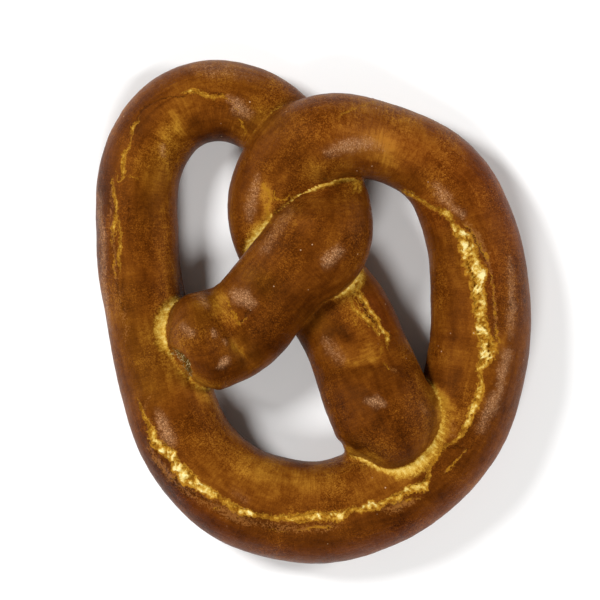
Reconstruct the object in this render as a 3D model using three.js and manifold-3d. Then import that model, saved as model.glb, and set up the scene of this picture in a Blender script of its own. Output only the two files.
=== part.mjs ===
// Soft pretzel: one hand-rolled rope of dough, twisted, with both ends pressed onto the loop.
// Millimetres, +Z up. Origin on the tray under the middle of the pretzel's outline.
import * as THREE from "three";
import Module from "manifold-3d";

// Where the rope runs, from the middle of the left end to the middle of the right end.
// Each station: x, y of the rope's middle, its width, its height and how far it is lifted off the tray.
const ROPE = [
  [-32.0, -9.0, 29.6, 20.5, 9.5], // left end, pressed onto the loop
  [-23.1, -5.2, 28.8, 19.5, 7.2],
  [-13.4, 4.6, 26.9, 20.5, 9.5],
  [-6.2, 13.0, 27.2, 20.5, 12.5], // over the right tail
  [1.6, 21.0, 30.7, 21.5, 11.0],
  [3.7, 29.2, 27.6, 21.5, 9.5], // right bend
  [1.4, 39.0, 24.8, 18.0, 0.0],
  [-3.7, 47.7, 23.8, 17.5, 0.0], // under the top strand
  [-20.0, 61.0, 24.2, 19.0, 0.0],
  [-29.7, 62.8, 24.4, 19.5, 0.0], // top left arch
  [-46.8, 53.1, 24.2, 20.0, 0.0],
  [-51.8, 40.4, 24.5, 20.0, 0.0],
  [-52.5, 24.2, 24.4, 20.0, 0.0], // left side
  [-50.8, 6.3, 24.4, 20.0, 0.0],
  [-47.3, -11.5, 25.4, 20.5, 0.0],
  [-42.6, -27.9, 26.8, 21.5, 0.0],
  [-35.9, -41.7, 28.0, 22.5, 0.0],
  [-25.5, -52.1, 29.2, 23.5, 0.0],
  [-12.4, -58.0, 30.0, 24.0, 0.0],
  [1.3, -59.7, 30.6, 24.5, 0.0], // bottom
  [14.4, -57.0, 30.6, 24.5, 0.0],
  [26.5, -50.7, 30.2, 24.0, 0.0],
  [37.1, -42.0, 29.7, 24.0, 0.0],
  [44.5, -29.8, 29.4, 24.0, 0.0],
  [48.8, -13.6, 29.7, 24.0, 0.0],
  [49.8, 3.4, 29.8, 23.5, 0.0], // right side
  [47.3, 21.2, 27.5, 22.5, 0.0],
  [42.8, 33.6, 26.3, 21.5, 0.0],
  [35.2, 43.1, 24.4, 20.5, 0.0],
  [25.5, 48.7, 23.0, 20.0, 1.5],
  [15.6, 51.2, 23.6, 20.0, 6.5], // top right
  [5.6, 51.9, 25.4, 20.5, 10.5],
  [-3.0, 48.9, 26.0, 21.0, 9.0], // over the left strand
  [-9.4, 41.4, 26.0, 21.0, 3.5],
  [-12.6, 31.9, 25.9, 20.5, 0.5], // left bend
  [-10.6, 21.5, 25.6, 19.0, 0.0],
  [-3.7, 12.3, 27.4, 17.5, 0.0], // under the left tail
  [4.1, 4.4, 28.7, 19.5, 0.0],
  [10.0, -4.4, 29.2, 21.5, 0.6],
  [12.9, -11.5, 29.4, 20.8, 3.0], // neck behind the ball
  [16.2, -19.5, 30.6, 22.6, 7.0],
  [21.0, -31.0, 31.0, 23.5, 10.0], // right end, a ball pressed onto the loop
];

// The rounded tips of the two ends: length, and bluntness to the left and to the right of the rope's run.
const END_CAPS = {
  left: { length: 10.4, leftBluntness: 2.0, rightBluntness: 1.5 },
  right: { length: 16.0, leftBluntness: 2.05, rightBluntness: 1.32 },
};
const CAP_TURN = 0.7; // how far right of the middle the right bluntness holds in full, in half widths

// Where one loft stops and the next begins: the loop's two ends, beside the top crossing.
const LOOP_START = ROPE[8];
const LOOP_END = ROPE[30];

// Cross-section: widest level and bottom bulge as shares of the height; the tray cuts the bottom flat.
const WAIST_SHARE = 0.44;
const BELLY_SHARE = 0.56;
const SETTLE = 0.4; // lift below which the dough still lies flat on the tray

// The burst crust: rope distance, place across the rope (-1 inner edge, 1 outer edge), gape.
const BURST = [
  [92, 0.1, 0.0],
  [104, 0.2, 1.2],
  [113, 0.43, 1.2],
  [121, 0.66, 1.0],
  [130, 0.53, 1.6],
  [140, 0.42, 2.0],
  [155, 0.6, 1.4],
  [170, 0.5, 1.2],
  [191, 0.56, 0.8],
  [210, 0.48, 1.4],
  [222, 0.45, 2.4],
  [237, 0.28, 2.2],
  [251, 0.15, 2.4],
  [268, 0.12, 2.6],
  [292, 0.15, 3.0],
  [306, 0.08, 1.6],
  [326, 0.14, 2.0],
  [341, 0.17, 3.8],
  [351, 0.0, 3.2],
  [366, -0.07, 4.6],
  [377, -0.22, 4.0],
  [387, -0.45, 2.0],
  [397, -0.62, 0.0],
  [425, 0.0, 0.0],
];
const BURST_DEPTH = 0.34; // groove depth for each millimetre of gape
const LIP_HEIGHT = 0.1; // raised torn edge, for each millimetre of gape
const LIP_PLACE = 1.7; // where the lip stands, in half gapes from the middle of the groove
const LIP_SHARPNESS = 2;
const MIN_HALF_GAPE = 0.7;

// Hand-rolled unevenness: swell of the skin, and how often it comes along and around the rope.
const SWELL = 0.35;
const SWELL_WAVES = [
  { along: 0.083, around: 1, phase: 0.4 },
  { along: 0.151, around: -2, phase: 2.1 },
  { along: 0.247, around: 3, phase: 4.4 },
];

const RING_STEP = 3.8;
const HEADING_REACH = 0.5; // how far ahead and behind the rope's heading is read
const CAP_RINGS = 5;
const TIP_GAP = 0.35; // what is left for the tip's fan after the last ring, in ring steps
// Points of a section on each side of the burst line: close together at the groove (in degrees),
// then evenly on to the middle of the underside.
const GROOVE_ANGLES = [4, 8, 13, 20, 30];
const SKIN_POINTS = 12;
const UNDERSIDE = -90;

// Natural cubic spline through the rows of a table, at the given knots; returns a function of distance.
function splineThrough(knots, rows) {
  const last = knots.length - 1;
  const columns = rows[0].map((_, column) => {
    const values = rows.map((row) => row[column]);
    const bend = new Array(last + 1).fill(0);
    const carried = new Array(last + 1).fill(0);
    for (let i = 1; i < last; i++) {
      const before = knots[i] - knots[i - 1];
      const after = knots[i + 1] - knots[i];
      const share = before / (before + after);
      const pivot = share * bend[i - 1] + 2;
      const turn = (values[i + 1] - values[i]) / after - (values[i] - values[i - 1]) / before;
      bend[i] = (share - 1) / pivot;
      carried[i] = ((6 * turn) / (before + after) - share * carried[i - 1]) / pivot;
    }
    bend[last] = 0;
    for (let i = last - 1; i > 0; i--) bend[i] = bend[i] * bend[i + 1] + carried[i];
    bend[0] = 0;
    return { values, bend };
  });
  return (distance) => {
    let i = 0;
    while (i < last - 1 && knots[i + 1] < distance) i++;
    const span = knots[i + 1] - knots[i];
    const near = (knots[i + 1] - distance) / span;
    const far = 1 - near;
    return columns.map(({ values, bend }) => {
      const sag = ((near ** 3 - near) * bend[i] + (far ** 3 - far) * bend[i + 1]) * (span ** 2 / 6);
      return near * values[i] + far * values[i + 1] + sag;
    });
  };
}

function distancesAlong(stations) {
  const distances = [0];
  for (let i = 1; i < stations.length; i++) {
    const [x, y] = stations[i];
    const [fromX, fromY] = stations[i - 1];
    distances.push(distances[i - 1] + Math.hypot(x - fromX, y - fromY));
  }
  return distances;
}

const ropeKnots = distancesAlong(ROPE);
const ropeLength = ropeKnots[ropeKnots.length - 1];
const ropeAt = splineThrough(ropeKnots, ROPE);

// The burst's place and gape at a distance, eased from row to row; beyond the table there is none.
function burstAt(distance) {
  const next = BURST.findIndex(([at]) => at > distance);
  if (next <= 0) {
    const [, across] = next === 0 ? BURST[0] : BURST[BURST.length - 1];
    return { across, gape: 0 };
  }
  const [from, fromAcross, fromGape] = BURST[next - 1];
  const [to, toAcross, toGape] = BURST[next];
  const share = THREE.MathUtils.smoothstep(distance, from, to);
  return {
    across: THREE.MathUtils.lerp(fromAcross, toAcross, share),
    gape: THREE.MathUtils.lerp(fromGape, toGape, share),
  };
}

// How much of the full section is left at a distance: 1 along the rope, rounding to 0 at its tips.
// The place across the rope runs from -1 at its left edge to 1 at its right edge.
function endTaper(distance, across) {
  const cap = distance < 0 ? END_CAPS.left : END_CAPS.right;
  const beyond = Math.max(0, -distance, distance - ropeLength) / cap.length;
  const turned = THREE.MathUtils.smoothstep(across, 0, CAP_TURN);
  const bluntness = THREE.MathUtils.lerp(cap.leftBluntness, cap.rightBluntness, turned);
  return (1 - Math.min(1, beyond) ** bluntness) ** (1 / bluntness);
}

// The rope's middle, heading and size at a distance; past both ends it runs straight on.
function stationAt(distance) {
  const inside = THREE.MathUtils.clamp(distance, 0, ropeLength);
  const [x, y, width, height, lift] = ropeAt(inside);
  const [aheadX, aheadY] = ropeAt(Math.min(inside + HEADING_REACH, ropeLength));
  const [behindX, behindY] = ropeAt(Math.max(inside - HEADING_REACH, 0));
  const heading = new THREE.Vector2(aheadX - behindX, aheadY - behindY).normalize();
  const middle = new THREE.Vector2(x, y).addScaledVector(heading, distance - inside);
  const raised = Math.max(0, lift - SETTLE);
  return { middle, heading, width, height, raised };
}

function swellAt(distance, angle) {
  const waves = SWELL_WAVES.map(({ along, around, phase }) => (
    Math.sin(distance * along + angle * around + phase)
  ));
  return (SWELL * waves.reduce((sum, wave) => sum + wave, 0)) / waves.length;
}

// Relief of the burst at a surface distance from its middle: a groove between two raised lips.
function burstRelief(offset, gape) {
  const halfGape = Math.max(gape / 2, MIN_HALF_GAPE);
  const away = Math.abs(offset) / halfGape;
  const groove = BURST_DEPTH * gape * Math.exp(-(away ** 2));
  const lip = LIP_HEIGHT * gape * Math.exp(-((LIP_SHARPNESS * (away - LIP_PLACE)) ** 2));
  return lip - groove;
}

// Angles from the burst line round one side to the underside, in degrees, over a span of that size.
function sideAngles(span) {
  const widest = GROOVE_ANGLES[GROOVE_ANGLES.length - 1];
  const skin = Array.from({ length: SKIN_POINTS }, (_, i) => (
    THREE.MathUtils.lerp(widest, span, (i + 1) / SKIN_POINTS)
  ));
  return [...GROOVE_ANGLES, ...skin];
}

// Turns from the burst line to every point of a section, in order round it; 0 is the line itself.
function sectionTurns(burstAngle) {
  const outerSpan = THREE.MathUtils.radToDeg(burstAngle) - UNDERSIDE;
  const outer = sideAngles(outerSpan).map((angle) => -angle).reverse();
  const inner = sideAngles(360 - outerSpan).slice(0, -1);
  return [...outer, 0, ...inner].map(THREE.MathUtils.degToRad);
}

// One ring of points: an upright section, rounded on top, cut flat where it meets the tray.
function ringAt(distance) {
  const { middle, heading, width, height, raised } = stationAt(distance);
  const { across, gape } = burstAt(distance);
  const burstAngle = Math.acos(across);
  const waist = raised + WAIST_SHARE * height;
  const reach = width / 2;
  return sectionTurns(burstAngle).map((turn) => {
    const angle = burstAngle + turn;
    const taper = endTaper(distance, Math.cos(angle));
    const relief = burstRelief(turn * reach, gape) + swellAt(distance, angle);
    const side = (reach + relief) * Math.cos(angle) * taper;
    const rise = Math.sin(angle);
    const share = rise > 0 ? 1 - WAIST_SHARE : BELLY_SHARE;
    const z = waist + (share * height + relief) * rise * taper;
    return new THREE.Vector3(
      middle.x + heading.y * side,
      middle.y - heading.x * side,
      Math.max(z, raised),
    );
  });
}

// Distances of the rings: even steps between two places on the rope, which both get a ring.
function evenSteps(from, to) {
  const count = Math.round((to - from) / RING_STEP);
  return Array.from({ length: count + 1 }, (_, i) => THREE.MathUtils.lerp(from, to, i / count));
}

// Extra rings that round off a free end; they crowd towards the tip.
function capSteps(end, length) {
  const steps = [];
  for (let i = 1; i <= CAP_RINGS; i++) {
    const share = Math.sin((i / (CAP_RINGS + TIP_GAP)) * (Math.PI / 2));
    steps.push(end + length * share);
  }
  return steps;
}

// The point on the rope's axis at a distance, at the waist of its section.
function axisPoint(distance) {
  const { middle, height, raised } = stationAt(distance);
  return new THREE.Vector3(middle.x, middle.y, raised + WAIST_SHARE * height);
}

// A closed skin over the rings at the given distances; fans to the two axis points close its ends.
function loftSolid(wasm, distances, startPoint, endPoint) {
  const rings = distances.map(ringAt);
  const around = rings[0].length;
  const points = [...rings.flat(), startPoint, endPoint];
  const startIndex = points.length - 2;
  const endIndex = points.length - 1;
  const lastRing = (rings.length - 1) * around;
  const triangles = [];
  for (let j = 0; j < around; j++) {
    const next = (j + 1) % around;
    triangles.push(startIndex, j, next);
    triangles.push(endIndex, lastRing + next, lastRing + j);
    for (let ring = 0; ring < lastRing; ring += around) {
      triangles.push(ring + j, ring + around + j, ring + next);
      triangles.push(ring + next, ring + around + j, ring + around + next);
    }
  }
  return new wasm.Manifold(new wasm.Mesh({
    numProp: 3,
    vertProperties: Float32Array.from(points.flatMap((point) => point.toArray())),
    triVerts: Uint32Array.from(triangles),
  }));
}

function geometryOf(solid) {
  const mesh = solid.getMesh();
  const geometry = new THREE.BufferGeometry();
  geometry.setAttribute("position", new THREE.BufferAttribute(mesh.vertProperties, 3));
  geometry.setIndex(new THREE.BufferAttribute(mesh.triVerts, 1));
  geometry.computeVertexNormals();
  return geometry;
}

const wasm = await Module();
wasm.setup();

const loopStart = ropeKnots[ROPE.indexOf(LOOP_START)];
const loopEnd = ropeKnots[ROPE.indexOf(LOOP_END)];
const leftTip = axisPoint(-END_CAPS.left.length);
const rightTip = axisPoint(ropeLength + END_CAPS.right.length);
const leftRings = [...capSteps(0, -END_CAPS.left.length).reverse(), ...evenSteps(0, loopStart)];
const rightRings = [...evenSteps(loopEnd, ropeLength), ...capSteps(ropeLength, END_CAPS.right.length)];
const leftStrand = loftSolid(wasm, leftRings, leftTip, axisPoint(loopStart));
const loop = loftSolid(wasm, evenSteps(loopStart, loopEnd), axisPoint(loopStart), axisPoint(loopEnd));
const rightStrand = loftSolid(wasm, rightRings, axisPoint(loopEnd), rightTip);

const crust = new THREE.MeshStandardMaterial({ color: 0x79481a, roughness: 0.45, metalness: 0 });
const pretzel = new THREE.Mesh(geometryOf(leftStrand.add(loop).add(rightStrand)), crust);
pretzel.name = "pretzel";

const softPretzel = new THREE.Group();
softPretzel.add(pretzel);

export default softPretzel;
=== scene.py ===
import bpy
import numpy as np
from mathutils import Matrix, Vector, noise


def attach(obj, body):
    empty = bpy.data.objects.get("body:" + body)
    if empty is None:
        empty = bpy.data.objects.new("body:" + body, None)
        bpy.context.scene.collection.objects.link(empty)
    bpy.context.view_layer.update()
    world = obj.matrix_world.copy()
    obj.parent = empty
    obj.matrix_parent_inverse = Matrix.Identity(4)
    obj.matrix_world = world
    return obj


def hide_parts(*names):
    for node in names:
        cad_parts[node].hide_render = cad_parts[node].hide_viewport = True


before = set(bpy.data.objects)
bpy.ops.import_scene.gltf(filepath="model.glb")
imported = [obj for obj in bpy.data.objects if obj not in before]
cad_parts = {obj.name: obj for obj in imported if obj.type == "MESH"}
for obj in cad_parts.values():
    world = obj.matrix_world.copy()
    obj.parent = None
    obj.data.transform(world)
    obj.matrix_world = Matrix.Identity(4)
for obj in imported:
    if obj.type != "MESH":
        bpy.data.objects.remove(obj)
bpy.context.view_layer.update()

MM = 0.001  # the pretzel is worked out in millimetres, and its mesh is made in metres

# The photo's own steps (600 across): how big one is on the pretzel, and where the frame's origin lies.
# Marks on the crust are places given in these steps, counted right and down.
PHOTO_SIDE = 600
PHOTO_STEP = 0.2973
PHOTO_ORIGIN = np.array([313.5, 311.3])
CAMERA_HEIGHT = 1000.0  # in millimetres, above the middle of the photo
CAMERA_LEVEL = 10.0  # the level whose plan fills the picture as the photo's steps say

# ---------------------------------------------------------------------------------------------
# The rope of dough: the CAD part's stations and sizes, in millimetres.
# Each station: x, y of the rope's middle, its width, its height and how far it is lifted.
ROPE = np.array([
    [-32.0, -9.0, 29.6, 20.5, 9.5],  # left end, pressed onto the loop
    [-23.1, -5.2, 28.8, 19.5, 7.2],
    [-13.4, 4.6, 26.9, 20.5, 9.5],
    [-6.2, 13.0, 27.2, 20.5, 12.5],  # over the right tail
    [1.6, 21.0, 30.7, 21.5, 11.0],
    [3.7, 29.2, 27.6, 21.5, 9.5],  # right bend
    [1.4, 39.0, 24.8, 18.0, 0.0],
    [-3.7, 47.7, 23.8, 17.5, 0.0],  # under the top strand
    [-20.0, 61.0, 24.2, 19.0, 0.0],
    [-29.7, 62.8, 24.4, 19.5, 0.0],  # top left arch
    [-46.8, 53.1, 24.2, 20.0, 0.0],
    [-51.8, 40.4, 24.5, 20.0, 0.0],
    [-52.5, 24.2, 24.4, 20.0, 0.0],  # left side
    [-50.8, 6.3, 24.4, 20.0, 0.0],
    [-47.3, -11.5, 25.4, 20.5, 0.0],
    [-42.6, -27.9, 26.8, 21.5, 0.0],
    [-35.9, -41.7, 28.0, 22.5, 0.0],
    [-25.5, -52.1, 29.2, 23.5, 0.0],
    [-12.4, -58.0, 30.0, 24.0, 0.0],
    [1.3, -59.7, 30.6, 24.5, 0.0],  # bottom
    [14.4, -57.0, 30.6, 24.5, 0.0],
    [26.5, -50.7, 30.2, 24.0, 0.0],
    [37.1, -42.0, 29.7, 24.0, 0.0],
    [44.5, -29.8, 29.4, 24.0, 0.0],
    [48.8, -13.6, 29.7, 24.0, 0.0],
    [49.8, 3.4, 29.8, 23.5, 0.0],  # right side
    [47.3, 21.2, 27.5, 22.5, 0.0],
    [42.8, 33.6, 26.3, 21.5, 0.0],
    [35.2, 43.1, 24.4, 20.5, 0.0],
    [25.5, 48.7, 23.0, 20.0, 1.5],
    [15.6, 51.2, 23.6, 20.0, 6.5],  # top right
    [5.6, 51.9, 25.4, 20.5, 10.5],
    [-3.0, 48.9, 26.0, 21.0, 9.0],  # over the left strand
    [-9.4, 41.4, 26.0, 21.0, 3.5],
    [-12.6, 31.9, 25.9, 20.5, 0.5],  # left bend
    [-10.6, 21.5, 25.6, 19.0, 0.0],
    [-3.7, 12.3, 27.4, 17.5, 0.0],  # under the left tail
    [4.1, 4.4, 28.7, 19.5, 0.0],
    [10.0, -4.4, 29.2, 21.5, 0.6],
    [12.9, -11.5, 29.4, 20.8, 3.0],  # neck behind the ball
    [16.2, -19.5, 30.6, 22.6, 7.0],
    [21.0, -31.0, 31.0, 23.5, 10.0],  # right end, a ball pressed onto the loop
])
LOOP_FROM, LOOP_TO = 8, 30  # the stations where the loop's strand starts and stops
LEFT_CAP = (10.4, 2.0, 1.5)  # the left end's tip: its length, and its bluntness left and right of the run
RIGHT_CAP = (16.0, 2.05, 1.32)  # and the right end's
JOIN_CAP = (0.5, 2.0, 2.0)  # inside the rope, where two strands meet end to end
CAP_TURN = 0.7  # share of the half width over which a tip's bluntness turns from left to right
WAIST_SHARE = 0.44  # of the height: how high the rope is widest
BELLY_SHARE = 0.56  # of the height: from there to the top
SETTLE = 0.4  # how far a lifted strand settles into the one below
SWELL = 0.35  # how far the rope's skin swells and sinks
SWELL_WAVES = [(0.083, 1, 0.4), (0.151, -2, 2.1), (0.247, 3, 4.4)]  # along, around, phase

STATION_STEP = 0.5  # along the rope
HEADING_REACH = 1  # stations ahead and behind that the heading is read from
TRAY_EDGE = 2.2  # radius of the bend between the side and the flat underside
WEB = 1.3  # how far the dough bridges the crease between two strands
NEIGHBOURS = (30.0, 50.0)  # rope between two places that are one strand, and two strands
GRID_BOX = np.array([[-64.9, -74.9, 0.0], [64.9, 74.9, 33.2]])  # about the pretzel's box
GRID_STEP = 1.0  # of the grid that the skin is found on
GRID_MARGIN = 3.0  # its room round the box
CHUNK = 20000  # plan points that are looked up at once
TINY = 1e-9  # keeps a divisor above 0
DISTANCE, BEYOND, WIDTH, LIFT = 0, 2, 5, 7  # rows of what Strand.place gives


def smooth(low, high, value):
    """0 below low, 1 above high, and eased between them."""
    share = np.clip((value - low) / (high - low), 0.0, 1.0)
    return share * share * (3.0 - 2.0 * share)


def spline_through(knots, rows):
    """Natural cubic spline through the rows of a table; returns a function of distance."""
    count = len(knots)
    gap = np.diff(knots)[:, None]
    slope = np.diff(rows, axis=0) / gap
    system = np.eye(count)
    wanted = np.zeros_like(rows)
    for i in range(1, count - 1):
        system[i, i - 1 : i + 2] = gap[i - 1, 0], 2 * (gap[i - 1, 0] + gap[i, 0]), gap[i, 0]
        wanted[i] = 6 * (slope[i] - slope[i - 1])
    bend = np.linalg.solve(system, wanted)

    def at(distance):
        i = np.clip(np.searchsorted(knots, distance, side="right") - 1, 0, count - 2)
        span = gap[i]
        far = (distance[:, None] - knots[i][:, None]) / span
        near = 1 - far
        sag = ((near**3 - near) * bend[i] + (far**3 - far) * bend[i + 1]) * span**2 / 6
        return near * rows[i] + far * rows[i + 1] + sag

    return at


ROPE_KNOTS = np.concatenate([[0.0], np.cumsum(np.hypot(*np.diff(ROPE[:, :2], axis=0).T))])
ROPE_AT = spline_through(ROPE_KNOTS, ROPE)


class Strand:
    """A stretch of the rope that doesn't cross itself, as closely spaced stations."""

    def __init__(self, first, last, start_cap, end_cap):
        start, end = ROPE_KNOTS[first], ROPE_KNOTS[last]
        self.distance = np.linspace(start, end, round((end - start) / STATION_STEP) + 1)
        self.rows = ROPE_AT(self.distance)
        ahead = ROPE_AT(np.minimum(self.distance + HEADING_REACH * STATION_STEP, ROPE_KNOTS[-1]))
        behind = ROPE_AT(np.maximum(self.distance - HEADING_REACH * STATION_STEP, 0.0))
        heading = (ahead - behind)[:, :2]
        self.heading = heading / np.linalg.norm(heading, axis=1, keepdims=True)
        self.caps = start_cap, end_cap

    def nearest(self, plan):
        """The nearest station of each plan point."""
        middles = self.rows[:, :2]
        reach = (middles**2).sum(axis=1)
        found = [
            np.argmin(reach - 2 * plan[i : i + CHUNK] @ middles.T, axis=1)
            for i in range(0, len(plan), CHUNK)
        ]
        return np.concatenate(found)

    def place(self, plan):
        """Where plan points lie on the strand: rope distance, side offset, excess past an end, sizes."""
        station = self.nearest(plan)
        offset = plan - self.rows[station, :2]
        heading = self.heading[station]
        ahead = (offset * heading).sum(axis=1)
        side = offset[:, 0] * heading[:, 1] - offset[:, 1] * heading[:, 0]
        before = np.where(station == 0, np.maximum(-ahead, 0.0), 0.0)
        after = np.where(station == len(self.distance) - 1, np.maximum(ahead, 0.0), 0.0)
        distance = self.distance[station] + np.clip(ahead, -STATION_STEP, STATION_STEP)
        distance = np.clip(distance, self.distance[0], self.distance[-1])
        sizes = [np.interp(distance, self.distance, column) for column in self.rows[:, 2:].T]
        length, left, right = [np.where(before > 0, *sizes_at) for sizes_at in zip(*self.caps)]
        bluntness = left + (right - left) * smooth(0.0, CAP_TURN, side / (sizes[0] / 2))
        return np.stack([distance, side, after - before, length, bluntness, *sizes])


def swell_at(distance, angle):
    """How far the skin stands out or in at a distance along the rope and an angle round it."""
    waves = [np.sin(distance * along + angle * around + phase) for along, around, phase in SWELL_WAVES]
    return SWELL * sum(waves) / len(waves)


def rounded_edge(gap, reach):
    """What rounding adds where two depths differ by less than reach: most where they are equal."""
    return np.clip(1 - gap / reach, 0.0, 1.0) ** 2 * reach / 4


def depth_of(place, z):
    """Signed distance to a strand's skin (below 0 inside), and the angle round its section."""
    distance, side, beyond, length, bluntness, width, height, lift = place
    raised = np.maximum(lift - SETTLE, 0.0)
    reach = width / 2
    rise = BELLY_SHARE * height
    across = side / reach
    up = (z - raised - WAIST_SHARE * height) / rise
    round_share = np.sqrt(across**2 + up**2) + TINY
    whole = (round_share**bluntness + np.abs(beyond / length) ** bluntness) ** (1 / bluntness)
    steepness = np.sqrt((across / reach) ** 2 + (up / rise) ** 2 + (beyond / length**2) ** 2)
    angle = np.arctan2(up, across)
    skin = (whole - 1) * whole / (steepness + TINY) - swell_at(distance + beyond, angle)
    under = raised - z
    return np.maximum(skin, under) + rounded_edge(np.abs(skin - under), TRAY_EDGE), angle


STRANDS = [
    Strand(0, LOOP_FROM, LEFT_CAP, JOIN_CAP),
    Strand(LOOP_FROM, LOOP_TO, JOIN_CAP, JOIN_CAP),
    Strand(LOOP_TO, len(ROPE) - 1, JOIN_CAP, RIGHT_CAP),
]
PAIRS = [(0, 1), (0, 2), (1, 2)]  # strands that may touch


def photo_to_plan(points):
    """Plan places, in millimetres, of places in the photo's steps."""
    return (np.asarray(points, float) - PHOTO_ORIGIN) * [PHOTO_STEP, -PHOTO_STEP]


# Wider webs of dough: place in the photo, radius, and what the web gains there, in millimetres.
WEBS = [
    ((449, 412), 8.0, 5.0),  # right of the ball
    ((412, 470), 5.0, 1.5),  # below the ball
    ((345, 448), 4.5, 8.0),  # left of its foot
    ((163, 326), 6.0, 2.0),  # left of the left knob
    ((204, 388), 5.0, 1.5),
]


def web_at(plan):
    """How far the dough bridges a crease at plan points."""
    radius = np.full(len(plan), WEB)
    for place, reach, gain in WEBS:
        away = ((plan - photo_to_plan(place)) ** 2).sum(axis=1)
        radius += gain * np.exp(-away / reach**2)
    return radius


def joined_depth(plan, z):
    """Signed distance to the whole pretzel's skin, for plan points and their heights."""
    places = [strand.place(plan) for strand in STRANDS]
    radius = web_at(plan)
    if z.ndim == 2:
        places = [place[:, :, None] for place in places]
        radius = radius[:, None]
    depths = [depth_of(place, z)[0] for place in places]
    nearest = np.minimum(np.minimum(depths[0], depths[1]), depths[2])
    joined = nearest.copy()
    for a, b in PAIRS:
        apart = smooth(*NEIGHBOURS, np.abs(places[a][DISTANCE] - places[b][DISTANCE]))
        joined -= apart * rounded_edge(np.maximum(depths[a], depths[b]) - nearest, radius)
    return joined


# ---------------------------------------------------------------------------------------------
# From the signed distance to a mesh


def crossings(field, axis):
    """Where the field changes sign along an axis: grid corners before it, its points, and its way out."""
    low = np.moveaxis(field, axis, 0)[:-1]
    high = np.moveaxis(field, axis, 0)[1:]
    found = np.argwhere((low < 0) != (high < 0))
    first, second = low[tuple(found.T)], high[tuple(found.T)]
    corner = np.insert(found[:, 1:], axis, found[:, 0], axis=1)
    point = corner.astype(float)
    point[:, axis] += first / (first - second)
    return corner, point, (first < 0) == (axis != 1)


def surface_net(field, origin, step):
    """Points and quads of the surface where the field is 0: a point in each cell that it crosses."""
    cells = np.array(field.shape) - 1
    total = np.zeros((cells.prod(), 3))
    count = np.zeros(cells.prod())
    quads = []
    for axis in range(3):
        corner, point, outward = crossings(field, axis)
        others = [other for other in range(3) if other != axis]
        ring = []
        for shift in ((0, 0), (1, 0), (1, 1), (0, 1)):
            cell = corner.copy()
            cell[:, others] -= shift
            index = np.ravel_multi_index(cell.T, cells)
            for column in range(3):
                total[:, column] += np.bincount(index, point[:, column], len(total))
            count += np.bincount(index, minlength=len(count))
            ring.append(index)
        quad = np.stack(ring, axis=1)
        quads.append(np.where(outward[:, None], quad, quad[:, ::-1]))
    quads = np.concatenate(quads)
    used, quads = np.unique(quads, return_inverse=True)
    return origin + step * total[used] / count[used][:, None], quads.reshape(-1, 4)


def split_quads(points, quads):
    """Triangles of the quads, each cut along its shorter diagonal."""
    corner = points[quads]
    first = np.linalg.norm(corner[:, 0] - corner[:, 2], axis=1)
    second = np.linalg.norm(corner[:, 1] - corner[:, 3], axis=1)
    a, b, c, d = quads.T
    along = np.concatenate([np.stack([a, b, c], 1), np.stack([a, c, d], 1)])
    other = np.concatenate([np.stack([b, c, d], 1), np.stack([b, d, a], 1)])
    keep = np.tile(first <= second, 2)
    return np.where(keep[:, None], along, other)


def normals_of(points, triangles):
    """Normals at the points, each face counting by its area."""
    corner = points[triangles]
    face = np.cross(corner[:, 1] - corner[:, 0], corner[:, 2] - corner[:, 0])
    normal = np.zeros_like(points)
    for column in range(3):
        for side in range(3):
            normal[:, column] += np.bincount(triangles[:, side], face[:, column], len(points))
    return normal / (np.linalg.norm(normal, axis=1, keepdims=True) + TINY)


def settle_on_skin(points, triangles, rounds=2):
    """Moves points along their normals onto the skin."""
    for _ in range(rounds):
        normal = normals_of(points, triangles)
        points = points - normal * joined_depth(points[:, :2], points[:, 2])[:, None]
    return points


def pretzel_skin():
    """Points and triangles of the whole pretzel, before its marks."""
    low = GRID_BOX[0] - GRID_MARGIN
    high = GRID_BOX[1] + GRID_MARGIN
    axes = [np.arange(a, b, GRID_STEP) for a, b in zip(low, high)]
    plan = np.stack(np.meshgrid(axes[0], axes[1], indexing="ij"), axis=2).reshape(-1, 2)
    field = joined_depth(plan, axes[2][None, :]).reshape([len(axis) for axis in axes])
    points, quads = surface_net(field, low, GRID_STEP)
    triangles = split_quads(points, quads)
    return settle_on_skin(points, triangles), triangles


def split_long_edges(points, triangles, wanted):
    """Cuts every edge that is longer than its end points want it; each triangle becomes one to four."""
    edges = np.sort(triangles[:, [[0, 1], [1, 2], [2, 0]]], axis=2).reshape(-1, 2)
    unique, which = np.unique(edges, axis=0, return_inverse=True)
    length = np.linalg.norm(points[unique[:, 0]] - points[unique[:, 1]], axis=1)
    cut = length > wanted[unique].mean(axis=1)
    fresh = np.where(cut, len(points) + np.cumsum(cut) - 1, -1)
    points = np.concatenate([points, points[unique[cut]].mean(axis=1)])
    middle = fresh[which.reshape(-1)].reshape(-1, 3)
    cuts = (middle >= 0).sum(axis=1)
    made = [triangles[cuts == 0]]
    for turn in range(3):
        a, b, c = np.roll(triangles, -turn, axis=1).T
        ab, bc, ca = np.roll(middle, -turn, axis=1).T
        one = (cuts == 1) & (ab >= 0)
        made += [np.stack(t, 1)[one] for t in ((a, ab, c), (ab, b, c))]
        two = (cuts == 2) & (ca < 0)
        made += [np.stack(t, 1)[two] for t in ((a, ab, bc), (ab, b, bc), (a, bc, c))]
    a, b, c = triangles.T
    ab, bc, ca = middle.T
    three = cuts == 3
    made += [np.stack(t, 1)[three] for t in ((a, ab, ca), (ab, b, bc), (ca, bc, c), (ab, bc, ca))]
    return points, np.concatenate(made)


# ---------------------------------------------------------------------------------------------
# Marks on the skin

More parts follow.
